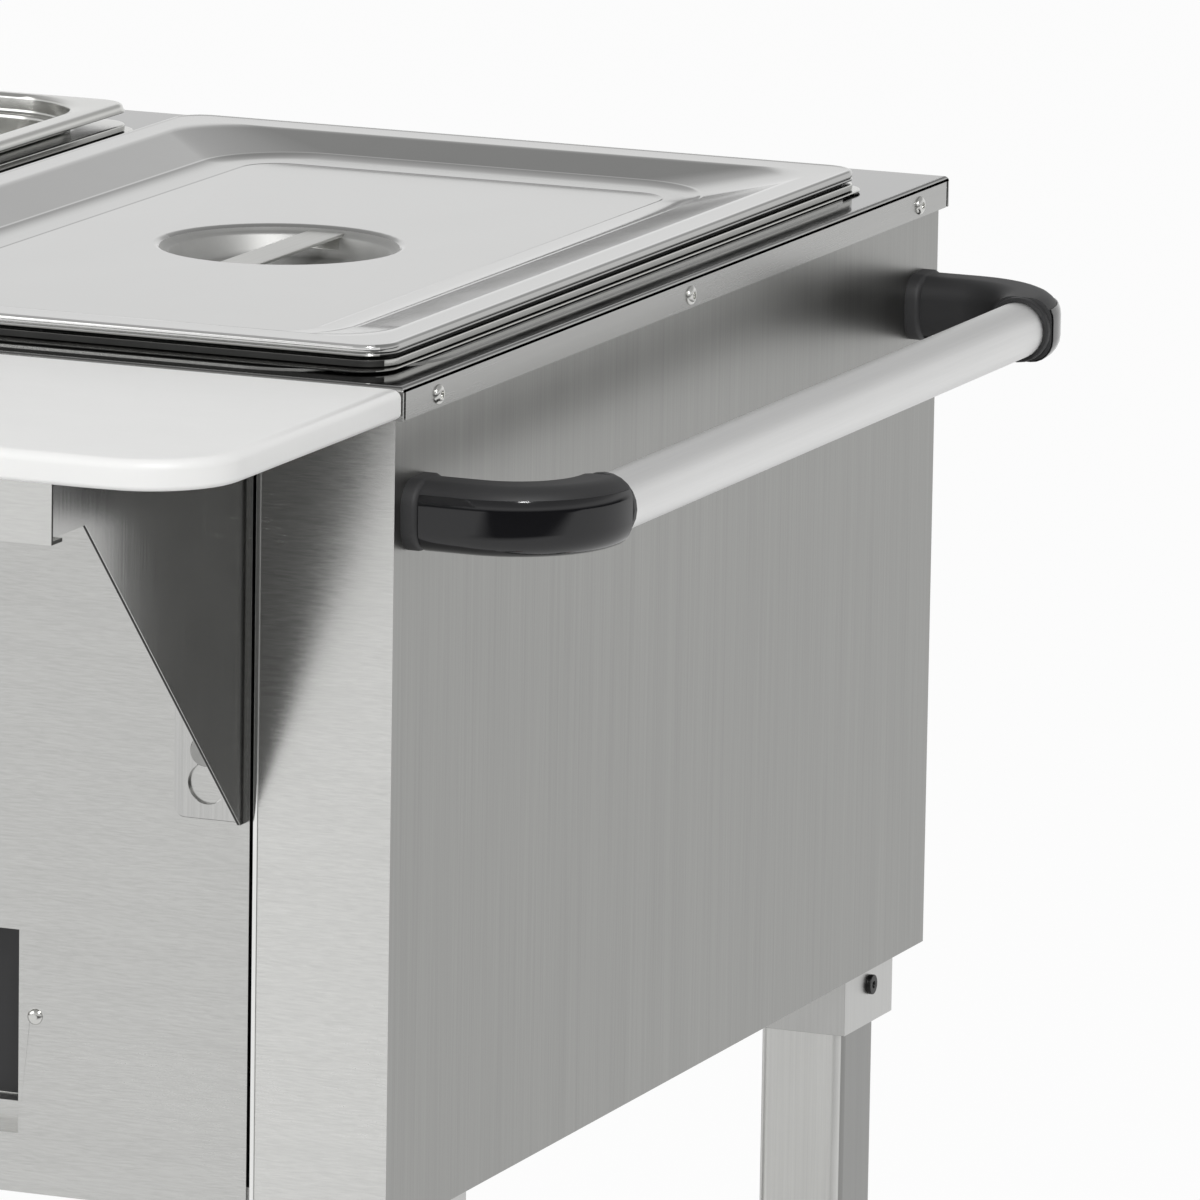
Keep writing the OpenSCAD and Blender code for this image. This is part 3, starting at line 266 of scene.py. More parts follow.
def steel(name, colour, lines, contrast=0.1, rough=(0.3, 0.42), streaks=0.5, clouds=0.3,
          depth=0.00002):
    """Stainless steel with its brushing; lines is how often the hair lines change along X, Y, Z."""
    material, tree, shader = new_material(name, colour, 1.0, sum(rough) / 2)
    grain = tree.nodes.new("ShaderNodeGroup")
    grain.node_tree = brushing
    grain.inputs["Streaks"].default_value = streaks
    grain.inputs["Clouds"].default_value = clouds
    tree.links.new(mapped(tree, lines), grain.inputs["Lines"])
    tree.links.new(mapped(tree), grain.inputs["Place"])
    vary_colour(tree, shader, spread(tree, grain.outputs["Tone"], 0.25, 0.75), colour, contrast)
    tree.links.new(spread(tree, grain.outputs["Gloss"], 0.3, 0.7, *rough),
                   shader.inputs["Roughness"])
    raise_surface(tree, shader, grain.outputs["Height"], 0.25, depth)
    return material


# Painted shade: the polished top gets a far darker base than its own lips, standing in for the dark
# reflections on it.
top_steel = steel("top steel with painted shade", (0.17, 0.17, 0.167), (40.0, 40.0, 40.0), 0.04, (0.07, 0.12),
                  streaks=0.2, depth=0.0000008)
lip_steel = steel("lip steel", (0.40, 0.40, 0.39), (260.0, 9.0, 700.0), 0.05, (0.22, 0.30),
                  streaks=0.25, depth=0.000002)
table_sheet = from_frame("table_top", "table_top_sheet")
table_low, table_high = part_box("table_top")
flat_z, fold_r = 0.864, 0.0024


def on_fold(vertex):
    """Whether a vertex lies where the sheet's flat meets its lips."""
    x, y, z = vertex.co
    inset = min(x - table_low.x, table_high.x - x, y - table_low.y, table_high.y - y)
    return abs(z - flat_z) < near / 2 and inset < near


select_by(table_sheet, "EDGE", lambda edge: all(on_fold(v) for v in edge.verts))
round_selected(fold_r, 4)
ease(table_sheet, 0.00035)
hand_over(table_sheet, "cabinet", "top_steel", top_steel, "table_top")


def second_finish(piece, material, test):
    """Gives some faces of a piece another finish, such as the faces of a fold; several calls use it
    to lay painted light and painted shade.
    """
    piece.data.materials.append(material)
    for face in piece.data.polygons:
        if test(face):
            face.material_index = len(piece.data.materials) - 1


second_finish(table_sheet, lip_steel, lambda face: abs(face.normal.z) < 0.6)


# Cabinet ---------------------------------------------------------------------
# Two side panels brushed upright, folded round the corners as posts with a
# hem along their inner edges. The side faces carry painted shade, the posts
# painted light and the bright hems a painted highlight. A front and a back
# panel brushed lengthwise stand between them, over a pressed floor.

upright = (900.0, 900.0, 7.0)
lengthwise = (130.0, 1500.0, 1500.0)
# Painted shade on the side faces and painted light on the posts: two tones of one folded sheet.
side_steel_painted_shade = steel("side panel steel with painted shade", (0.30, 0.30, 0.29), upright, 0.14, (0.27, 0.37), 0.18)
front_steel = steel("front panel steel", (0.53, 0.53, 0.517), lengthwise, 0.10, (0.20, 0.29),
                    0.2)
post_steel_painted_light = steel("post steel with painted light", (0.63, 0.63, 0.615), lengthwise, 0.10, (0.20, 0.29), 0.2)
# Painted highlight: the hem strips get the brightest steel, standing in for the highlight along the
# posts' rounded inner edges.
hem_steel_painted_highlight = steel("folded hem steel with painted highlight", (0.80, 0.80, 0.785), (60.0, 60.0, 9.0), 0.05, (0.12, 0.2))
hem_w, hem_d, hem_inset = 0.0023, 0.0012, 0.0002


def dress(node, name, width, body, slot, material, segments=2):
    """Hands over a frame part's copy that only has its edges eased."""
    piece = from_frame(node, name)
    ease(piece, width, segments)
    return hand_over(piece, body, slot, material, node)


for side in ("right", "left"):
    node = side + "_side_panel"
    panel = dress(node, node + "_sheet", 0.0010, "cabinet", "brushed_panel", side_steel_painted_shade)
    # Painted light: the post faces get a much lighter copy of the steel than the side faces of the
    # same sheet.
    second_finish(panel, post_steel_painted_light, lambda face: abs(face.normal.y) > mostly)
    low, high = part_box(node)
    inner = low.x + hem_w / 2 if side == "right" else high.x - hem_w / 2
    for end, outward in (("front", low.y + hem_inset), ("rear", high.y - hem_inset)):
        bpy.ops.object.select_all(action="DESELECT")
        bpy.ops.mesh.primitive_cube_add(size=1.0, location=(inner, outward, (low.z + high.z) / 2))
        hem = bpy.context.object
        hem.name = side + "_" + end + "_post_hem"
        hem.scale = (hem_w, hem_d, high.z - low.z - 2 * hem_inset)
        bake_place()
        ease(hem, 0.0005)
        hand_over(hem, "cabinet", "brushed_panel", hem_steel_painted_highlight)
for side in ("front", "back"):
    node = side + "_panel"
    dress(node, node + "_sheet", 0.0003, "cabinet", "front_steel", front_steel)
mill_steel = steel("mill finish steel", (0.42, 0.42, 0.41), (25.0, 25.0, 25.0), 0.08,
                   (0.35, 0.5))
dress("cabinet_floor", "cabinet_floor_sheet", 0.0006, "cabinet", "well_steel", mill_steel)


# Wells and heating tubes -----------------------------------------------------
# Three deep-drawn well boxes hang under the openings. A sheathed heating tube
# lies in three hairpins over each floor and goes through it in two collars.

def folds_at(edge, z, least_turn):
    """Whether an edge lies at a height and turns the surface by more than an angle."""
    return (all(abs(v.co.z - z) < near / 2 for v in edge.verts) and edge.is_manifold
            and edge.calc_face_angle() > least_turn)


well_bottom_r = 0.006
well_steel = steel("well steel", (0.40, 0.40, 0.39), (40.0, 40.0, 6.0), 0.10, (0.28, 0.42))
places = ("left", "middle", "right")
for place in places:
    node = place + "_well"
    well, bottom_z = from_frame(node, node + "_box"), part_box(node)[0].z
    select_by(well, "EDGE", lambda edge: folds_at(edge, bottom_z, 0.6))
    round_selected(well_bottom_r, 5)
    hand_over(well, "cabinet", "well_steel", well_steel, node)
tube_steel = steel("oxidised tube steel", (0.16, 0.145, 0.13), (300.0, 60.0, 300.0), 0.25,
                   (0.42, 0.6), clouds=0.9)
dress("heating_elements", "heating_tubes", 0.0006, "cabinet", "element_steel", tube_steel)


# Pans ------------------------------------------------------------------------
# Each well takes a spillage pan for water with a flat flange, and a food pan
# with a rolled rim in it. An open insert pan hangs in the middle one. All are
# drawn from sheet steel and polished, and carry painted shade, near black,
# under their rims, in the slits and on the low front faces of the rims.

def ring_shell(name, rings, steps=12):
    """A closed skin over rings: width, depth, corner radius, and height or place of each."""
    mesh = bpy.data.meshes.new(name)
    piece = bpy.data.objects.new(name, mesh)
    into_scene(piece)
    select_only(piece)
    bpy.ops.object.mode_set(mode="EDIT")
    bpy.ops.mesh.select_mode(type="VERT")
    bmesh.from_edit_mesh(mesh).verts.layers.int.new("ring")
    around = 4 * (steps + 1)
    for turn, (width, depth, radius, place) in enumerate(rings):
        if not isinstance(place, Matrix):
            place = Matrix.Translation((0.0, 0.0, place))
        bpy.ops.mesh.select_all(action="DESELECT")
        bpy.ops.mesh.primitive_plane_add(size=1.0, location=(0.0, 0.0, 0.0))
        bpy.ops.transform.resize(value=(width, depth, 1.0), center_override=(0.0, 0.0, 0.0))
        bpy.ops.mesh.bevel(offset=radius, offset_type="OFFSET", segments=steps, profile=0.5,
                           affect="VERTICES")
        working = bmesh.from_edit_mesh(mesh)
        ring_of = working.verts.layers.int["ring"]
        fresh = sorted((v for v in working.verts if v[ring_of] == 0),
                       key=lambda v: math.atan2(v.co.y, v.co.x) % (2.0 * math.pi))
        for order, vertex in enumerate(fresh):
            vertex[ring_of] = 1 + turn * around + order
            vertex.co = place @ vertex.co
        bmesh.update_edit_mesh(mesh)
        if 0 < turn < len(rings) - 1:
            bpy.ops.mesh.delete(type="ONLY_FACE")
    working = bmesh.from_edit_mesh(mesh)
    ring_of = working.verts.layers.int["ring"]
    ordered = sorted(working.verts, key=lambda v: v[ring_of])
    loops = [ordered[start:start + around] for start in range(0, len(ordered), around)]
    for inner, outer in zip(loops, loops[1:]):
        for order in range(around):
            working.faces.new((inner[order - 1], inner[order], outer[order], outer[order - 1]))
    bmesh.update_edit_mesh(mesh)
    bpy.ops.mesh.select_all(action="SELECT")
    bpy.ops.mesh.normals_make_consistent(inside=False)
    if bmesh.from_edit_mesh(mesh).calc_volume(signed=True) < 0.0:
        bpy.ops.mesh.flip_normals()
    bpy.ops.object.mode_set(mode="OBJECT")
    mesh.attributes.remove(mesh.attributes["ring"])
    return piece


def mm_rings(width, depth, radius, steps_in):
    """Rings from millimetres: inset along X and Y, least corner radius and height."""
    return [((width - 2 * dx) / 1000, (depth - 2 * dy) / 1000,
             max(radius - (dx + dy) / 2, least) / 1000, z / 1000) for dx, dy, least, z in steps_in]


def round_rings(profile, straight):
    """Rings that are round but for short straights, from radius and height in millimetres."""
    return [(2 * r / 1000, 2 * r / 1000, r / 1000 - straight, z / 1000) for r, z in profile]


def settle(piece, name, place, turn=None):
    """A copy of a piece with its own mesh, moved to its place in the frame."""
    copy = piece.copy()
    copy.data = piece.data.copy()
    copy.name = name
    into_scene(copy)
    if turn is not None:
        copy.rotation_euler = turn
    copy.location = place
    select_only(copy)
    bake_place()
    return copy


def middle_of(node):
    low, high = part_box(node)
    return Vector(((low.x + high.x) / 2, (low.y + high.y) / 2, 0.0))


pan_steel = steel("drawn pan steel", (0.56, 0.56, 0.54), (14.0, 14.0, 14.0), 0.04,
                  (0.14, 0.24), streaks=0.2, clouds=0.5, depth=0.000004)
rim_low, rim_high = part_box("right_food_pan")
rim_w, rim_d, rim_r = (rim_high.x - rim_low.x) * 1000, (rim_high.y - rim_low.y) * 1000, 15.0
insert_low, insert_top = 874.4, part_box("insert_pan")[1].z * 1000
spill_low, spill_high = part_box("middle_spillage_pan")
spill_w, spill_d = (spill_high.x - spill_low.x) * 1000, (spill_high.y - spill_low.y) * 1000
spill_inner_w, inner_less_d = 303.2, 18.8
wall_x, wall_y = (spill_w - spill_inner_w) / 2, (spill_d - rim_d + inner_less_d) / 2
spillage_pan = ring_shell("spillage_pan", mm_rings(spill_w, spill_d, rim_r + 1.5, [
    (wall_x + off, wall_y + off, least, z) for off, least, z in (
        (9, 35.0, 714.9), (3, 41.0, 716.3), (0.6, 43.6, 719.6), (0, 44.1, 724.0),
        (0, 44.1, 862.9), (-0.7, 44.8, 864.7), (-2.4, 46.0, 865.5))
] + [
    (off, off, 0.0, z) for off, z in (
        (0.7, 865.5), (0.2, 865.36), (0.0, 865.05), (0.2, 864.74), (0.7, 864.6))
] + [
    (wall_x + off, wall_y + off, least, z) for off, least, z in (
        (-1.5, 45.6, 864.6), (-0.9, 45.0, 863.4), (-0.9, 45.0, 723.0), (0, 44.2, 717.2),
        (3, 41.0, 714.9), (9, 35.0, 714.0))
]))
food_pan = ring_shell("food_pan", mm_rings(rim_w, rim_d, rim_r, [
    (34.5, 32.0, 24.0, 769.9), (24.5, 20.0, 33.0, 771.0), (19.0, 14.5, 38.5, 775.6),
    (17.2, 12.7, 41.0, 783.0), (16.5, 12.0, 41.5, 840.0), (16.5, 12.0, 41.5, 863.5),
    (15.9, 11.4, 42.0, 866.8), (14.0, 9.5, 43.0, 868.5), (11.5, 7.6, 40.0, 868.9),
    (1.6, 1.6, 0.0, 868.9), (0.5, 0.5, 0.0, 868.84), (0.12, 0.12, 0.0, 868.6),
    (0.0, 0.0, 0.0, 868.3), (0.0, 0.0, 0.0, 866.2), (0.15, 0.15, 0.0, 865.98),
    (0.6, 0.6, 0.0, 865.9), (1.4, 1.4, 0.0, 865.9), (2.4, 2.4, 0.0, 865.52),
    (3.4, 3.4, 0.0, 865.52), (3.8, 3.8, 0.0, 866.3), (4.2, 4.2, 0.0, 867.9),
    (12.2, 8.4, 40.0, 867.9), (14.6, 10.1, 42.6, 867.0), (15.5, 11.0, 42.5, 863.4),
    (15.5, 11.0, 42.5, 783.0), (16.4, 11.9, 41.5, 775.4), (23.5, 19.0, 33.5, 770.0),
    (34.5, 32.0, 24.0, 768.9),
]))
insert_pan = ring_shell("shallow_pan", mm_rings(rim_w, rim_d, rim_r, [
    (37.0, 34.0, 22.0, 814.4), (27.0, 22.5, 31.0, 815.4), (21.6, 17.1, 36.0, 819.6),
    (19.6, 15.1, 38.4, 827.0), (19.1, 14.6, 38.9, 860.0), (19.1, 14.6, 38.9, 868.0),
    (18.5, 14.0, 39.5, 869.4), (17.5, 13.0, 40.5, 869.9), (15.0, 10.5, 42.4, 869.9),
    (13.9, 9.4, 43.3, 870.5), (13.5, 9.0, 43.7, 871.6), (13.5, 9.0, 43.7, 876.4),
    (12.9, 8.4, 43.7, insert_top - 0.7), (11.4, 7.2, 41.5, insert_top - 0.1),
    (9.8, 6.0, 36.0, insert_top), (3.6, 3.6, 0.0, insert_top), (2.2, 2.2, 0.0, insert_top - 0.3),
    (1.2, 1.2, 0.0, insert_top - 1.0), (0.9, 0.9, 0.0, insert_top - 2.0),
    (0.5, 0.5, 0.0, insert_top - 2.9), (0.0, 0.0, 0.0, insert_top - 3.3),
    (0.0, 0.0, 0.0, insert_low + 0.3), (0.3, 0.3, 0.0, insert_low),
    (1.4, 1.4, 0.0, insert_low + 0.2), (1.9, 1.9, 0.0, insert_top - 2.6),
    (3.0, 3.0, 0.0, insert_top - 1.1), (10.6, 6.4, 38.0, insert_top - 1.0),
    (12.2, 7.7, 43.0, 876.6), (12.5, 8.0, 44.5, 875.6), (12.5, 8.0, 44.5, 869.6),
    (13.1, 8.6, 43.9, 868.95), (17.9, 13.4, 40.0, 868.9), (18.1, 13.6, 39.9, 868.0),
    (18.1, 13.6, 39.9, 827.0), (18.9, 14.4, 39.0, 819.0), (26.0, 21.5, 32.0, 814.5),
    (37.0, 34.0, 22.0, 813.4),
]))
# Painted shade: near-black steel under the rims, in the slits and on the low front faces, where
# overhanging rims and lids shade them.
rim_painted_shade = steel("painted shade under rims", (0.05, 0.05, 0.049), (60.0, 60.0, 60.0), 0.15,
                   (0.50, 0.62))
rim_reach, painted_shade_front_z = 0.009, 0.8685


def dull_under_rim(piece, node, level):
    """Lays painted shade, near black, on a rim's underside, in the slit below a level in
    millimetres and on the low front faces.
    """
    low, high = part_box(node)

    def hidden(face):
        inset = min(face.center.x - low.x, high.x - face.center.x,
                    face.center.y - low.y, high.y - face.center.y)
        under = face.normal.z < -0.35 or face.center.z < level / 1000
        in_front = face.normal.y < -0.6 and face.center.z < painted_shade_front_z
        return inset < rim_reach and (under or in_front)

    second_finish(piece, rim_painted_shade, hidden)


for place in places:
    node = place + "_spillage_pan"
    pan = hand_over(settle(spillage_pan, node + "_drawn", middle_of(node)), place + "_spillage",
                    "pan_steel", pan_steel, node)
    dull_under_rim(pan, node, 864.7)
    node = place + "_food_pan"
    pan = hand_over(settle(food_pan, node + "_drawn", middle_of(node)), place + "_food",
                    "pan_steel", pan_steel, node)
    dull_under_rim(pan, node, 866.15)
pan = hand_over(settle(insert_pan, "insert_pan_drawn", middle_of("insert_pan")), "insert",
                "pan_steel", pan_steel, "insert_pan")
dull_under_rim(pan, "insert_pan", insert_low + 0.4)
for pattern in (spillage_pan, food_pan, insert_pan):
    bpy.data.objects.remove(pattern)


# Lids ------------------------------------------------------------------------
# Pressed covers with a polished rolled edge, a border that slopes to a crease
# and runs out in a ramp, a level middle with a round satin hand recess, and a
# strap welded across the recess to lift them by. The front of the rolled edge
# is painted light, and its underside and slit carry painted shade.

lid_steel = steel("polished lid steel", (0.405, 0.405, 0.397), (14.0, 14.0, 14.0), 0.025,
                  (0.06, 0.11), streaks=0.2, clouds=0.5, depth=0.000003)
recess_steel = steel("satin recess steel", (0.44, 0.44, 0.43), (30.0, 30.0, 30.0), 0.08,
                     (0.50, 0.62), clouds=0.9)
lid_front_painted_light = steel("lid front edge with painted light", (0.74, 0.74, 0.73), (14.0, 14.0, 14.0), 0.04,
                   (0.10, 0.16))
strap_steel = steel("brushed strap steel", (0.58, 0.58, 0.56), (900.0, 12.0, 900.0), 0.10,
                    (0.28, 0.4))
lid_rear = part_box("right_lid")[1].y * 1000
foot_y, middle_y = lid_rear - 304.4, lid_rear - 282.0
recess_straight = 0.0001
lid = ring_shell("lid", round_rings([
    (36.0, 852.9), (42.0, 853.1), (44.0, 854.2), (45.2, 856.4), (47.4, 861.9), (47.9, 862.6),
    (48.6, 862.9), (49.9, 863.2), (50.8, 863.7), (51.8, 864.7), (52.9, 865.55), (54.8, 865.9),
], recess_straight) + mm_rings(rim_w, rim_d, rim_r, [
    (65.5, middle_y + 1.2, 17.0, 865.9), (65.0, middle_y + 0.7, 17.5, 865.92),
    (64.4, middle_y + 0.1, 18.1, 866.08), (64.0, middle_y - 0.3, 18.5, 866.10),
    (56.8, middle_y - 10.0, 27.0, 866.32), (52.6, middle_y - 15.4, 34.0, 866.72),
    (49.6, foot_y + 3.4, 39.0, 867.22), (48.0, foot_y + 1.2, 42.0, 867.66),
    (47.5, foot_y + 0.5, 42.6, 867.84), (47.0, foot_y, 43.0, 867.94),
    (46.2, foot_y - 0.8, 43.8, 868.00), (45.8, foot_y - 1.3, 44.2, 868.08),
    (17.4, 21.6, 34.0, 873.9), (15.2, 19.2, 27.0, 874.45), (13.0, 17.0, 22.0, 874.55),
    (4.0, 4.0, 0.0, 874.55), (2.6, 2.6, 0.0, 874.8), (1.6, 1.6, 0.0, 874.88),
    (0.8, 0.8, 0.0, 874.6), (0.25, 0.25, 0.0, 873.9), (0.1, 0.1, 0.0, 872.6),
    (0.2, 0.2, 0.0, 871.9), (0.7, 0.7, 0.0, 871.6), (0.2, 0.2, 0.0, 871.3),
    (0.0, 0.0, 0.0, 870.9), (0.2, 0.2, 0.0, 870.4), (0.9, 0.9, 0.0, 870.1),
    (4.2, 4.2, 0.0, 870.1), (4.6, 4.6, 0.0, 868.95), (5.4, 5.4, 0.0, 868.95),
    (5.7, 5.7, 0.0, 870.4), (6.0, 6.0, 0.0, 873.0), (7.0, 7.0, 0.0, 873.55),
    (13.4, 17.4, 23.0, 873.55), (17.0, 21.2, 33.0, 873.0), (42.2, foot_y - 0.8, 44.0, 867.2),
    (47.0, foot_y + 4.4, 38.0, 866.3), (52.0, middle_y - 12.6, 32.0, 865.65),
    (58.0, middle_y - 6.4, 25.0, 865.15), (65.0, middle_y + 0.6, 17.0, 864.9),
]) + round_rings([
    (54.8, 864.9), (53.4, 864.5), (52.0, 863.3), (50.4, 862.4), (48.0, 861.8), (45.6, 856.2),
    (44.8, 853.2), (42.4, 852.2), (36.0, 851.9),
], recess_straight))
edge_z, edge_reach, recess_z, recess_r = 0.8705, 0.004, 0.8645, 0.053
for place in ("left", "right"):
    node = place + "_lid"
    cover = hand_over(settle(lid, node + "_pressed", middle_of(node)), place + "_cover",
                      "lid_steel", lid_steel, node)
    dull_under_rim(cover, node, 870.5)
    front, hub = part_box(node)[0].y, middle_of(node)
    # Painted light: the upper front faces of the rolled edge get a much lighter steel than the rest
    # of the lid.
    second_finish(cover, lid_front_painted_light, lambda face: face.normal.y < -0.25
                  and face.center.z > edge_z and face.center.y - front < edge_reach)
    second_finish(cover, recess_steel, lambda face: face.center.z < recess_z and math.hypot(
        face.center.x - hub.x, face.center.y - hub.y) < recess_r)
    node = place + "_lid_strap"
    dress(node, node + "_bent", 0.0004, place + "_cover", "lid_steel", strap_steel)
bpy.data.objects.remove(lid)


# Controls --------------------------------------------------------------------
# A recessed steel tray behind the front panel carries a black printed film,
# three turned knobs on dials and three amber lights, with the heat controls,
# the terminal block and the cord gland inside the cabinet.

turned_straight = 0.00002


def turned(name, profile, steps=11):
    """A closed turned piece about Z from pairs of radius and height in millimetres."""
    return ring_shell(name, round_rings(profile, turned_straight), steps)


def joined(pieces, name):
    select_only(pieces[0])
    for piece in pieces:
        piece.select_set(True)
    bpy.ops.object.join()
    pieces[0].name = name
    return pieces[0]


def plastic(name, colour, rough, grain=400.0, depth=0.00002, mottle=0.06):
    """Moulded plastic with a fine spark grain and slightly uneven gloss."""
    material, tree, shader = new_material(name, colour, 0.0, sum(rough) / 2)
    place = mapped(tree)
    fine = noise(tree, place, grain, 3.0, 0.6)
    patch = noise(tree, place, 14.0, 3.0, 0.5)
    vary_colour(tree, shader, spread(tree, patch), colour, mottle)
    tree.links.new(spread(tree, patch, 0.3, 0.7, *rough), shader.inputs["Roughness"])
    raise_surface(tree, shader, fine, 0.3, depth)
    return material


dress("control_panel", "control_tray", 0.0005, "cabinet", "front_steel", front_steel)
film_black = plastic("black film", (0.012, 0.012, 0.013), (0.30, 0.40), 700.0, 0.00001)
dress("control_overlay", "control_film", 0.0002, "cabinet", "overlay_black", film_black)

film_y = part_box("control_overlay")[0].y
knob_plastic = plastic("knob plastic", (0.018, 0.018, 0.019), (0.26, 0.36), 500.0)
amber, tree, shader = new_material("amber lens", (0.85, 0.30, 0.03), 0.0, 0.18)
shader.inputs["Transmission Weight"].default_value = 0.35
shader.inputs["IOR"].default_value = 1.49
facets = noise(tree, mapped(tree), 900.0, 2.0, 0.4)
tree.links.new(between(tree, spread(tree, facets), (0.72, 0.22, 0.02),
                       (0.92, 0.36, 0.05)), shader.inputs["Base Color"])
raise_surface(tree, shader, facets, 0.35, 0.0001)
print_white = plastic("white print", (0.72, 0.72, 0.70), (0.5, 0.6), 300.0, 0.000004, 0.03)
knob_pattern = turned("knob_pattern", [
    (22.4, 0.0), (23.0, 0.5), (23.0, 1.6), (22.2, 2.6), (19.5, 3.1), (17.4, 3.6), (17.0, 5.0),
    (16.6, 16.0), (15.8, 18.6), (14.2, 19.7), (11.0, 20.0), (9.0, 19.7)])
skirt_z, grip_w, origin = 0.0033, 0.84, (0.0, 0.0, 0.0)
select_by(knob_pattern, "VERT", lambda v: v.co.z > skirt_z)
bpy.ops.transform.resize(value=(grip_w, 1.0, 1.0), center_override=origin)
bpy.ops.object.mode_set(mode="OBJECT")
dome = turned("dome", [(5.0, 0.0), (6.0, 0.2), (6.0, 1.2), (5.6, 2.4), (4.6, 3.4), (3.0, 3.9),
                       (1.2, 4.0)])
pointer_pattern = settle(dome, "pointer_pattern", origin)
select_by(pointer_pattern, "VERT", lambda v: True)
bpy.ops.transform.resize(value=(0.20, 1.15, 0.28), center_override=origin)
bpy.ops.object.mode_set(mode="OBJECT")
knob_gap, pointer_place = 0.0005, Vector((0.0, -0.0192, 0.0086))
print_y = film_y - 0.00004
dial_start, dial_step = -135.0, 27.0
tick_w, long_tick, short_tick, tick_r = 0.0007, 0.0030, 0.0018, 0.0262
numeral_size, numeral_r = 0.0050, 0.0308
marks = []
toward_server = (math.radians(90.0), 0.0, 0.0)
for place in places:
    node = place + "_knob"
    low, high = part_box(node)
    centre = Vector(((low.x + high.x) / 2, film_y - knob_gap, (low.z + high.z) / 2))
    knob = settle(knob_pattern, node + "_turned", centre, toward_server)
    pointer = settle(pointer_pattern, node + "_pointer", centre + pointer_place, toward_server)
    hand_over(knob, place + "_control", "knob_black", knob_plastic, node)
    hand_over(pointer, place + "_control", "knob_black", print_white)
    dial = Vector((centre.x, print_y, centre.z))
    for step in range(11):
        bearing = math.radians(dial_start + dial_step * step)
        outward = Vector((math.sin(bearing), 0.0, math.cos(bearing)))
        bpy.ops.object.select_all(action="DESELECT")
        bpy.ops.mesh.primitive_plane_add(size=1.0, rotation=(math.radians(90.0), bearing, 0.0))
        tick = bpy.context.object
        tick.scale = (tick_w, long_tick if step % 5 == 0 else short_tick, 1.0)
        tick.location = dial + outward * tick_r
        marks.append(tick)
        if step % 2 == 0:
            bpy.ops.object.text_add(rotation=toward_server)
            numeral = bpy.context.object
            numeral.data.body = str(step)
            numeral.data.size = numeral_size
            numeral.data.align_x = "CENTER"
            numeral.data.align_y = "CENTER"
            numeral.location = dial + outward * numeral_r
            bpy.ops.object.convert(target="MESH")
            marks.append(bpy.context.object)
dials = joined(marks, "dial_marks")
bake_place()
hand_over(dials, "cabinet", "block_white", print_white)

lens_low, lens_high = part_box("indicator_lights")
lens_z, lens_aside = (lens_low.z + lens_high.z) / 2, 0.046
lenses = []
for place in places:
    knob_low, knob_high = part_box(place + "_knob")
    spot = Vector(((knob_low.x + knob_high.x) / 2 + lens_aside, film_y, lens_z))
    lenses.append(settle(dome, "lens_" + place, spot, toward_server))
hand_over(joined(lenses, "light_lenses"), "cabinet", "light_amber", amber, "indicator_lights")
for pattern in (knob_pattern, pointer_pattern):
    bpy.data.objects.remove(pattern)
case_plastic = plastic("control case plastic", (0.045, 0.047, 0.05), (0.4, 0.5))
dress("heat_controls", "heat_control_cases", 0.0015, "cabinet", "control_case", case_plastic)
block_plastic = plastic("terminal block plastic", (0.74, 0.73, 0.68), (0.4, 0.5))
terminals = from_frame("terminal_block", "terminal_block_moulded")
select_by(terminals, "FACE", lambda face: face.normal.z > squarely)
bpy.ops.mesh.inset(thickness=0.004, depth=0.0)
bpy.ops.mesh.inset(thickness=0.0012, depth=-0.004)
bpy.ops.object.mode_set(mode="OBJECT")
ease(terminals, 0.0008)
hand_over(terminals, "cabinet", "block_white", block_plastic, "terminal_block")
gland_plastic = plastic("gland plastic", (0.02, 0.02, 0.021), (0.36, 0.46))
dress("cord_gland", "cord_gland_moulded", 0.0009, "cabinet", "gland_black", gland_plastic)


# Cutting board and its carrier -----------------------------------------------
# A white polyethylene board with rounded edges stands on three steel pegs of a
# folded rail. Two folded brackets hang the rail on screws in the front panel.

board_white, tree, shader = new_material("board white", (0.80, 0.80, 0.79), 0.0, 0.42)
shader.inputs["Subsurface Weight"].default_value = 0.12
shader.inputs["Subsurface Radius"].default_value = (0.004, 0.004, 0.004)
place = mapped(tree)
matt = noise(tree, place, 950.0, 3.0, 0.6)
cuts = noise(tree, mapped(tree, (26.0, 900.0, 26.0), (0.0, 0.0, 0.45)), 1.0, 4.0, 0.7)
stain = noise(tree, place, 11.0, 3.0, 0.55)
tree.links.new(between(tree, spread(tree, stain), (0.785, 0.785, 0.775),
                       (0.815, 0.815, 0.805)), shader.inputs["Base Color"])
tree.links.new(spread(tree, cuts, 0.3, 0.75, 0.38, 0.52), shader.inputs["Roughness"])
raise_surface(tree, shader, number(tree, "MULTIPLY_ADD", cuts, 0.5, matt), 0.22, 0.00005)
board_low, board_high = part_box("cutting_board")
peg_y, peg_room = board_low.y + 0.015, 0.0065
peg_spots = [Vector((x, peg_y)) for x in (-0.45155, -0.03655, 0.37845)]
board = from_frame("cutting_board", "cutting_board_milled")
for level, width, segments in ((board_high.z, 0.0042, 6), (board_low.z, 0.0022, 4)):
    select_by(board, "EDGE", lambda edge: folds_at(edge, level, 1.0) and not any(
        (v.co.xy - spot).length < peg_room for v in edge.verts for spot in peg_spots))
    round_selected(width, segments)
hand_over(board, "board", "board_white", board_white, "cutting_board")
peg_steel = steel("peg steel", (0.5, 0.5, 0.49), (500.0, 500.0, 9.0), 0.08, (0.25, 0.35))
dress("board_pegs", "board_pegs_turned", 0.0006, "board", "screw_steel", peg_steel)
rail_steel = steel("rail steel", (0.62, 0.62, 0.605), lengthwise, 0.07, (0.20, 0.29), 0.2)
rail = dress("board_rail", "board_rail_folded", 0.0007, "board_carrier", "bracket_steel",
             rail_steel)
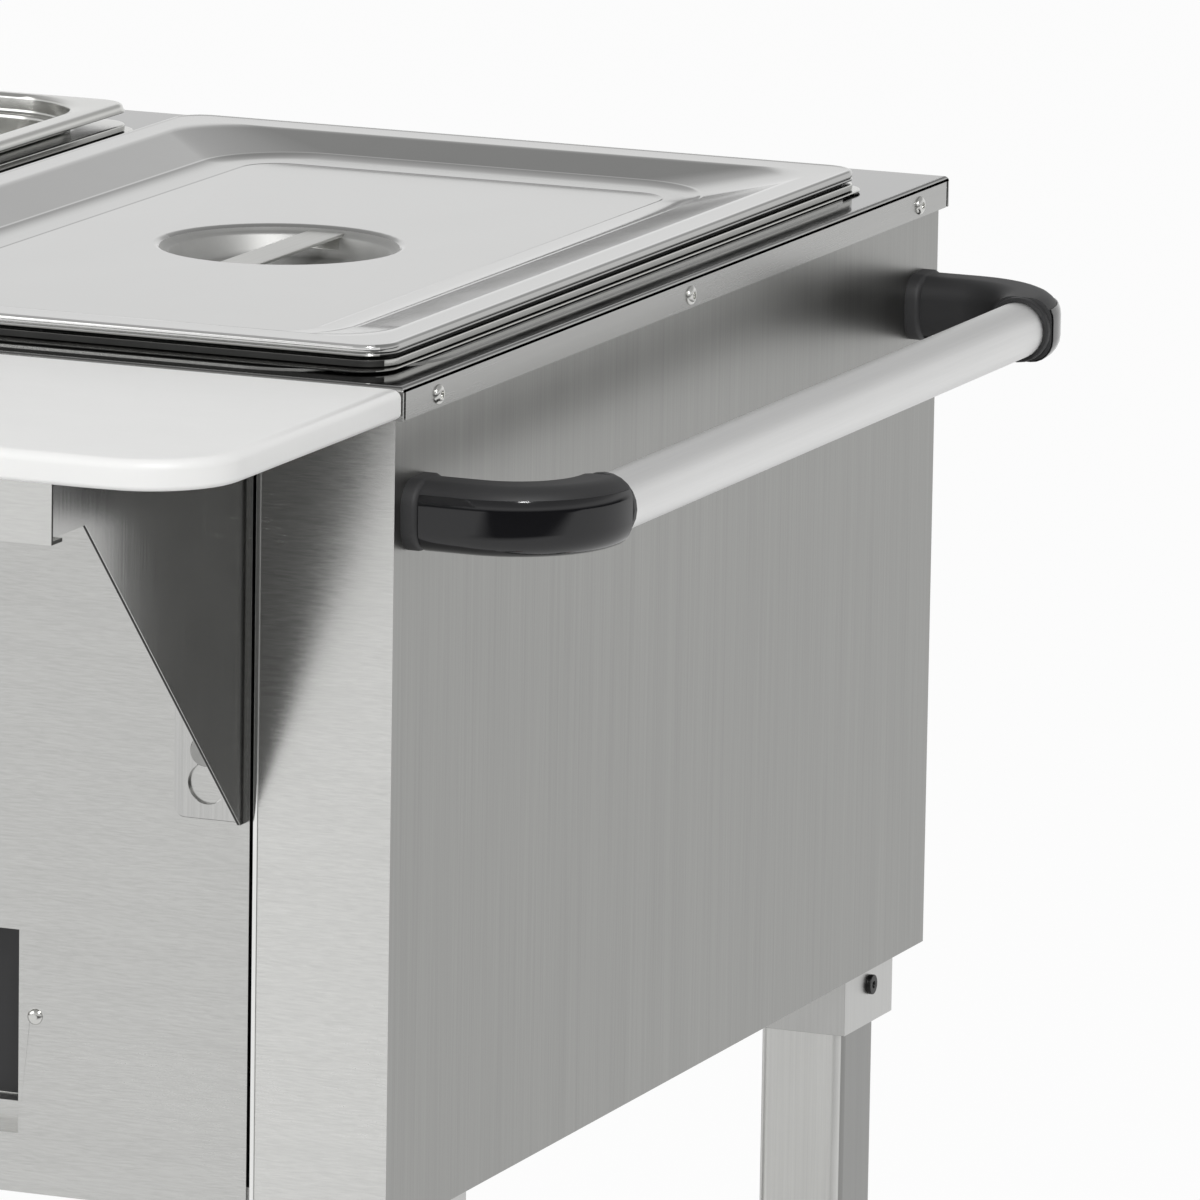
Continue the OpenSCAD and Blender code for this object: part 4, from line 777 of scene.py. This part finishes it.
# Painted shade: the rail's cut ends are near black, standing in for the shaded gap and dark outline
# along them.
cut_edge_painted_shade = steel("cut sheet edge with painted shade", (0.06, 0.06, 0.058), (400.0, 400.0, 400.0), 0.2, (0.45, 0.6))
second_finish(rail, cut_edge_painted_shade, lambda face: abs(face.normal.x) > squarely)
bracket_steel = steel("bracket steel", (0.50, 0.50, 0.49), (900.0, 900.0, 14.0), 0.10,
                      (0.16, 0.24), 0.2)
flange_corner_r = 0.005
for side in ("right", "left"):
    node = side + "_bracket"
    bracket = from_frame(node, node + "_folded")
    low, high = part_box(node)
    free = low.x if side == "right" else high.x
    select_by(bracket, "EDGE", lambda edge: all(
        abs(v.co.z - low.z) < near and abs(v.co.x - free) < near for v in edge.verts))
    round_selected(flange_corner_r, 6)
    ease(bracket, 0.0006)
    hand_over(bracket, "board_carrier", "bracket_steel", bracket_steel, node)
    # Painted shade: the brackets' sloping edges get the same near-black edge steel.
    second_finish(bracket, cut_edge_painted_shade, lambda face: 0.2 < abs(face.normal.z) < 0.97
                  and abs(face.normal.x) < 0.2)


# Screws and rivets -----------------------------------------------------------
# Bright button-head screws hold the lips, greyer ones carry the brackets and
# blackened ones hold the legs. Domed rivets hold the control tray.

bright_steel = steel("bright screw steel", (0.62, 0.62, 0.60), (60.0, 60.0, 60.0), 0.06,
                     (0.16, 0.26))
button = turned("button", [(1.0, 0.9), (1.5, 0.9), (1.55, 1.75), (1.9, 1.9), (2.7, 1.75),
                           (3.5, 1.3), (4.0, 0.7), (4.2, 0.1), (4.2, -0.8), (1.0, -0.8)])
heads = []
button_r, rivet_r = 0.0042, 0.0034
lip_low, lip_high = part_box("lip_screws")
lip_z = (lip_low.z + lip_high.z) / 2
for along in (lip_low.y + button_r, (lip_low.y + lip_high.y) / 2, lip_high.y - button_r):
    heads.append(settle(button, "button_right", (table_high.x, along, lip_z),
                        (0.0, math.radians(90.0), 0.0)))
    heads.append(settle(button, "button_left", (table_low.x, along, lip_z),
                        (0.0, math.radians(-90.0), 0.0)))
hand_over(joined(heads, "lip_screw_heads"), "cabinet", "screw_steel", bright_steel, "lip_screws")
rivet = turned("rivet", [(1.0, 1.6), (2.0, 1.35), (2.9, 0.9), (3.3, 0.4), (3.4, 0.0),
                         (3.4, -0.3), (1.0, -0.3)])
rivet_low, rivet_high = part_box("panel_rivets")
rivet_z = (rivet_low.z + rivet_high.z) / 2
panel_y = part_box("front_panel")[0].y
heads = [settle(rivet, "rivet_" + str(index), (x, panel_y, rivet_z), toward_server)
         for index, x in enumerate((rivet_low.x + rivet_r, rivet_high.x - rivet_r))]
hand_over(joined(heads, "rivet_heads"), "cabinet", "screw_steel", bright_steel, "panel_rivets")
screw_grey = steel("screw steel", (0.34, 0.34, 0.33), (60.0, 60.0, 60.0), 0.10, (0.24, 0.34))
black_steel = steel("blackened screw steel", (0.035, 0.035, 0.035), (60.0, 60.0, 60.0), 0.15,
                    (0.36, 0.46))
dress("bracket_screws", "bracket_screw_heads", 0.0009, "cabinet", "screw_steel", screw_grey, 3)
dress("bar_bolts", "bar_bolt_heads", 0.0008, "cabinet", "screw_steel", bright_steel)
dress("leg_screws", "leg_screw_heads", 0.0004, "cabinet", "screw_steel", black_steel)
for pattern in (button, rivet, dome):
    bpy.data.objects.remove(pattern)


# Push bar --------------------------------------------------------------------
# A satin anodised aluminium tube between two bent nylon brackets, each a matt
# body with a glossy cover over its outer side, bolted through the side panel.

tube_finish = steel("satin aluminium", (0.74, 0.74, 0.735), (700.0, 12.0, 700.0), 0.035,
                    (0.40, 0.48), 0.2, 0.2, depth=0.00001)
bar = from_frame("push_bar", "push_bar_tube")
hand_over(bar, "cabinet", "bar_aluminium", tube_finish, "push_bar", smooth=30)
matt_black = plastic("matt nylon", (0.020, 0.020, 0.021), (0.50, 0.62), 600.0, 0.00004)
gloss_black = plastic("glossy nylon", (0.004, 0.004, 0.005), (0.07, 0.13), 60.0, 0.000008, 0.02)
bar_low, bar_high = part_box("push_bar")
bar_x, bar_z = (bar_low.x + bar_high.x) / 2, (bar_low.z + bar_high.z) / 2
arm_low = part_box("front_bar_arm")[0]
arm_inset = 0.021
foot_x, arm_y = arm_low.x, arm_low.y + arm_inset
bend, bend_steps = 0.038, 16
bend_x, bend_y = bar_x - bend, arm_y + bend
arm_thick, arm_r, square_until = 0.0284, 0.0098, 0.0015
arm_stations = []


def along_x(x, y):
    """A ring's place with its width upright and its depth across the arm."""
    return Matrix(((0, 0, 1, x), (0, -1, 0, y), (1, 0, 0, bar_z), (0, 0, 0, 1)))


for x, depth, width, radius in ((0.0, 0.0340, 0.0300, 0.0110), (0.0046, 0.0340, 0.0300, 0.0110),
                                (0.0060, 0.0318, 0.0288, 0.0104),
                                (0.0066, arm_thick, arm_thick, arm_r)):
    arm_stations.append((width, depth, radius, along_x(foot_x + x, arm_y)))
arm_stations.append((arm_thick, arm_thick, arm_r, along_x(bend_x, arm_y)))
for step in range(1, bend_steps + 1):
    turn = math.radians(90.0) * step / bend_steps
    out = Vector((math.sin(turn), -math.cos(turn), 0.0))
    way = Vector((math.cos(turn), math.sin(turn), 0.0))
    centre = Vector((bend_x, bend_y, bar_z)) + bend * out
    arm_stations.append((arm_thick, arm_thick, arm_r, Matrix((
        (0, out.x, way.x, centre.x), (0, out.y, way.y, centre.y),
        (1, 0, 0, centre.z), (0, 0, 0, 1)))))
for on, size in ((0.0010, arm_thick), (0.0016, 0.0272), (0.0021, 0.0272), (0.0026, 0.0290),
                 (0.0054, 0.0290), (0.0060, 0.0280), (0.0060, 0.0254), (0.0030, 0.0252)):
    arm_stations.append((size, size, arm_r if on < square_until else size / 2 - turned_straight,
                         Matrix(((0, 1, 0, bar_x), (0, 0, 1, bend_y + on), (1, 0, 0, bar_z),
                                 (0, 0, 0, 1)))))
arm = ring_shell("arm_pattern", arm_stations, steps=6)
cover_start, cover_end, cover_from, cover_to = 0.0068, 0.0005, -128.0, 34.0


def outer_side(face):
    """Whether a face of the arm lies under the glossy cover."""
    spot = face.calc_center_median()
    if spot.x < bend_x:
        off = arm_y - spot.y
    elif spot.y > bend_y:
        off = spot.x - bar_x
    else:
        off = math.hypot(spot.x - bend_x, spot.y - bend_y) - bend
    round_it = math.degrees(math.atan2(spot.z - bar_z, off))
    return (foot_x + cover_start < spot.x and spot.y < bend_y + cover_end
            and cover_from < round_it < cover_to)


cover = settle(arm, "cover_pattern", origin)
select_by(cover, "FACE", lambda face: not outer_side(face))
bpy.ops.mesh.delete(type="FACE")
bpy.ops.object.mode_set(mode="OBJECT")
wall = cover.modifiers.new("wall", "SOLIDIFY")
wall.thickness = 0.0007
wall.offset = 1.0
bake_modifiers(cover)
ease(cover, 0.0003, angle=50)
hand_over(settle(arm, "front_arm_body", origin), "cabinet", "arm_black", matt_black,
          "front_bar_arm")
hand_over(settle(cover, "front_arm_cover", origin), "cabinet", "arm_black", gloss_black)
across = bar_low.y + bar_high.y
for pattern, name, finish, replaced in ((arm, "rear_arm_body", matt_black, ["rear_bar_arm"]),
                                        (cover, "rear_arm_cover", gloss_black, [])):
    pattern.scale = (1.0, -1.0, 1.0)
    rear = settle(pattern, name, (0.0, across, 0.0))
    select_by(rear, "FACE", lambda face: True)
    bpy.ops.mesh.normals_make_consistent(inside=False)
    bpy.ops.object.mode_set(mode="OBJECT")
    hand_over(rear, "cabinet", "arm_black", finish, *replaced)
    bpy.data.objects.remove(pattern)


# Legs, sockets and undershelf ------------------------------------------------
# Square steel tubes, with painted shade on their two faces that look along X,
# stand in folded sockets under the cabinet floor, each held by a screw, and
# carry a shelf with turned-down edges.

leg_steel = steel("leg steel", (0.64, 0.64, 0.625), (900.0, 900.0, 9.0), 0.09, (0.30, 0.40), 0.3)
# Painted shade: the tube faces that look along X get a much darker copy of the leg steel.
leg_side_steel_painted_shade = steel("leg side steel with painted shade", (0.28, 0.28, 0.273), (900.0, 900.0, 9.0), 0.09,
                       (0.30, 0.40), 0.3)
corners = ("front_left", "front_right", "rear_right", "rear_left")
for corner in corners:
    node = corner + "_leg"
    leg = from_frame(node, node + "_tube")
    hand_over(leg, "cabinet", "leg_steel", leg_steel, node, smooth=25)
    second_finish(leg, leg_side_steel_painted_shade, lambda face: abs(face.normal.x) > mostly)
socket_steel = steel("socket steel", (0.52, 0.52, 0.51), (700.0, 700.0, 14.0), 0.07,
                     (0.30, 0.40), 0.2)
dress("leg_sockets", "leg_sockets_folded", 0.0009, "cabinet", "bracket_steel", socket_steel)
shelf_steel = steel("shelf steel", (0.50, 0.50, 0.485), lengthwise, 0.08, (0.32, 0.42), 0.25)
dress("undershelf", "undershelf_pressed", 0.0008, "cabinet", "brushed_panel", shelf_steel)


# Casters ---------------------------------------------------------------------
# Zinc-plated stems in the legs, pressed forks on ball races, and rubber wheels
# on a nylon core with pockets. The two at the push bar end have a red brake.

zinc = steel("zinc plating", (0.56, 0.57, 0.58), (90.0, 90.0, 90.0), 0.14, (0.28, 0.44),
             streaks=0.2, clouds=0.9)
dress("caster_stems", "caster_stems_plated", 0.0008, "cabinet", "caster_zinc", zinc)
for corner in corners:
    node = corner + "_fork"
    dress(node, node + "_pressed", 0.0007, corner + "_swivel", "caster_zinc", zinc)
rubber = plastic("grey rubber", (0.040, 0.040, 0.041), (0.62, 0.78), 500.0, 0.00006, 0.15)
core = plastic("nylon core", (0.14, 0.14, 0.145), (0.42, 0.52), 400.0)
half = [(13.0, 18.7), (12.6, 14.0), (14.5, 8.0), (18.0, 5.6), (24.0, 4.4), (40.0, 4.4),
        (46.5, 6.0), (49.5, 9.0), (50.5, 13.2), (52.0, 14.0), (53.6, 14.1), (55.2, 14.9),
        (58.0, 15.0), (60.4, 13.6), (61.9, 10.6), (62.4, 6.0), (62.5, 0.0)]
wheel = turned("wheel_pattern", [(4.2, 18.7)] + half
               + [(r, -y) for r, y in reversed(half[:-1])] + [(4.2, -18.7)], steps=15)
pockets, pocket_from, pocket_to, pocket_half_angle = 6, 0.026, 0.039, 20.0
core_r = 0.0522


def in_pocket(face, bearing):
    """Whether a face of the wheel's disc belongs to the pocket at a bearing in degrees."""
    spot = face.calc_center_median()
    off = (math.degrees(math.atan2(spot.y, spot.x)) - bearing + 180.0) % 360.0 - 180.0
    return (pocket_from < spot.xy.length < pocket_to and abs(face.normal.z) > squarely
            and abs(off) < pocket_half_angle)


for index in range(pockets):
    select_by(wheel, "FACE", lambda face: in_pocket(face, 360.0 / pockets * index))
    bpy.ops.mesh.inset(thickness=0.0016, depth=0.0)
    bpy.ops.mesh.inset(thickness=0.0008, depth=-0.0022)
    bpy.ops.object.mode_set(mode="OBJECT")
for corner in corners:
    node = corner + "_wheel"
    low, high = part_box(node)
    hub = (low + high) / 2
    tyre = settle(wheel, node + "_moulded", hub, toward_server)
    hand_over(tyre, corner + "_roller", "wheel_rubber", rubber, node)
    second_finish(tyre, core, lambda face: math.hypot(
        face.center.x - hub.x, face.center.z - hub.z) < core_r)
bpy.data.objects.remove(wheel)
brake_red = plastic("brake red", (0.42, 0.022, 0.018), (0.34, 0.46), 300.0)
for side in ("front", "rear"):
    node = side + "_brake"
    dress(node, node + "_pedal", 0.0012, side + "_pedal", "brake_red", brake_red, 3)


# Studio ----------------------------------------------------------------------
# A white floor and surround with two soft lamps, and the camera at the
# photograph's distance and angle. Only reflections see the dark boards: high
# up, low down but not behind the table, and on the floor in front of it.

def rays(tree):
    """Whether a ray is the camera's own, and whether it is that, mirrored or let through."""
    path = tree.nodes.new("ShaderNodeLightPath")
    direct = path.outputs["Is Camera Ray"]
    return direct, number(tree, "MAXIMUM", direct, number(
        tree, "MAXIMUM", path.outputs["Is Glossy Ray"], path.outputs["Is Transmission Ray"]))


def rest_of(tree, share):
    return number(tree, "SUBTRACT", 1.0, share)


bpy.ops.object.select_all(action="DESELECT")
bpy.ops.mesh.primitive_plane_add(size=60.0, location=(0.0, 0.0, 0.0))
floor = bpy.context.object
floor.name = "studio_floor"
floor_paint, tree, shader = new_material("floor paint", (0.86, 0.86, 0.86), 0.0, 0.9)
glow = tree.nodes.new("ShaderNodeEmission")
glow.inputs["Color"].default_value = (1.0, 1.0, 1.0, 1.0)
mixed = tree.nodes.new("ShaderNodeMixShader")
direct, seen = rays(tree)
spot = tree.nodes.new("ShaderNodeSeparateXYZ")
tree.links.new(mapped(tree), spot.inputs["Vector"])
board_left, board_right, board_front, board_back = -0.2, 0.8, -2.2, -1.2
board_dark, floor_glow = 0.92, 0.95
unlit = number(tree, "MULTIPLY",
               spread(tree, spot.outputs["X"], board_left, board_right, 0.0, board_dark),
               spread(tree, spot.outputs["Y"], board_front, board_back, 1.0, 0.0))
unlit = number(tree, "MULTIPLY", unlit, rest_of(tree, direct))
tree.links.new(rest_of(tree, unlit), glow.inputs["Strength"])
tree.links.new(number(tree, "MULTIPLY", seen, floor_glow), mixed.inputs[0])
tree.links.new(shader.outputs[0], mixed.inputs[1])
tree.links.new(glow.outputs[0], mixed.inputs[2])
tree.links.new(mixed.outputs[0], tree.nodes["Material Output"].inputs["Surface"])
floor.data.materials.append(floor_paint)

world = bpy.data.worlds.new("white surround")
bpy.context.scene.world = world
world.use_nodes = True
tree = world.node_tree
background = tree.nodes["Background"]
background.inputs["Color"].default_value = (1.0, 1.0, 1.0, 1.0)
direct, seen = rays(tree)
direction = tree.nodes.new("ShaderNodeTexCoord")
split = tree.nodes.new("ShaderNodeSeparateXYZ")
tree.links.new(direction.outputs["Generated"], split.inputs["Vector"])
ceiling = tree.nodes.new("ShaderNodeValToRGB")
stops = ceiling.color_ramp.elements
stops[0].position, stops[1].position = 0.24, 0.85
stops[0].color, stops[1].color = (1.0, 1.0, 1.0, 1.0), (0.46, 0.46, 0.46, 1.0)
for height, tone in ((0.34, 0.65), (0.53, 0.50)):
    stops.new(height).color = (tone, tone, tone, 1.0)
tree.links.new(split.outputs["Z"], ceiling.inputs["Fac"])
away_x, away_y, beside, behind_it = -0.386, 0.922, 0.35, 0.6
band_dark, band_full_z, band_end_z, soft_light = 0.93, 0.04, 0.14, 0.45
away = number(tree, "MULTIPLY_ADD", split.outputs["Y"], away_y, number(
    tree, "MULTIPLY", split.outputs["X"], away_x))
band = number(tree, "MULTIPLY", spread(tree, away, beside, behind_it, band_dark, 0.0),
              spread(tree, split.outputs["Z"], band_full_z, band_end_z, 1.0, 0.0))
mirrored = number(tree, "MULTIPLY", number(tree, "SUBTRACT", seen, direct),
                  number(tree, "MULTIPLY", ceiling.outputs["Color"], rest_of(tree, band)))
level = number(tree, "MAXIMUM", number(tree, "MAXIMUM", mirrored, direct),
               number(tree, "MULTIPLY", rest_of(tree, seen), soft_light))
tree.links.new(level, background.inputs["Strength"])


def softbox(name, place, target, size, power):
    lamp = bpy.data.lights.new(name, "AREA")
    lamp.shape = "SQUARE"
    lamp.size = size
    lamp.energy = power
    fixture = bpy.data.objects.new(name, lamp)
    into_scene(fixture)
    aim = (Vector(target) - Vector(place)).to_track_quat("-Z", "Y")
    fixture.matrix_world = Matrix.Translation(place) @ aim.to_matrix().to_4x4()


softbox("key softbox", (2.2, -2.6, 3.4), (0.3, -0.2, 0.7), 0.5, 90.0)
softbox("fill softbox", (-2.5, -3.0, 2.2), (0.0, 0.0, 0.6), 2.5, 40.0)

camera_data = bpy.data.cameras.new("camera")
camera = bpy.data.objects.new("camera", camera_data)
into_scene(camera)
bpy.context.scene.camera = camera
camera_data.sensor_width = 36.0
camera_data.sensor_height = 36.0
camera_data.lens = 355.41
camera_data.clip_end = 100.0
camera_place = (2.37616, -4.50406, 1.70098)
turn, dip, lean = 0.39378, 0.19437, -0.01603
ahead = Vector((-math.sin(turn) * math.cos(dip), math.cos(turn) * math.cos(dip), -math.sin(dip)))
across = Vector((math.cos(turn), math.sin(turn), 0.0))
below = ahead.cross(across)
right = math.cos(lean) * across + math.sin(lean) * below
down = -math.sin(lean) * across + math.cos(lean) * below
axes = Matrix((right, -down, -ahead)).transposed()
camera.matrix_world = Matrix.Translation(camera_place) @ axes.to_4x4()

scene = bpy.context.scene
scene.view_settings.view_transform = "Standard"
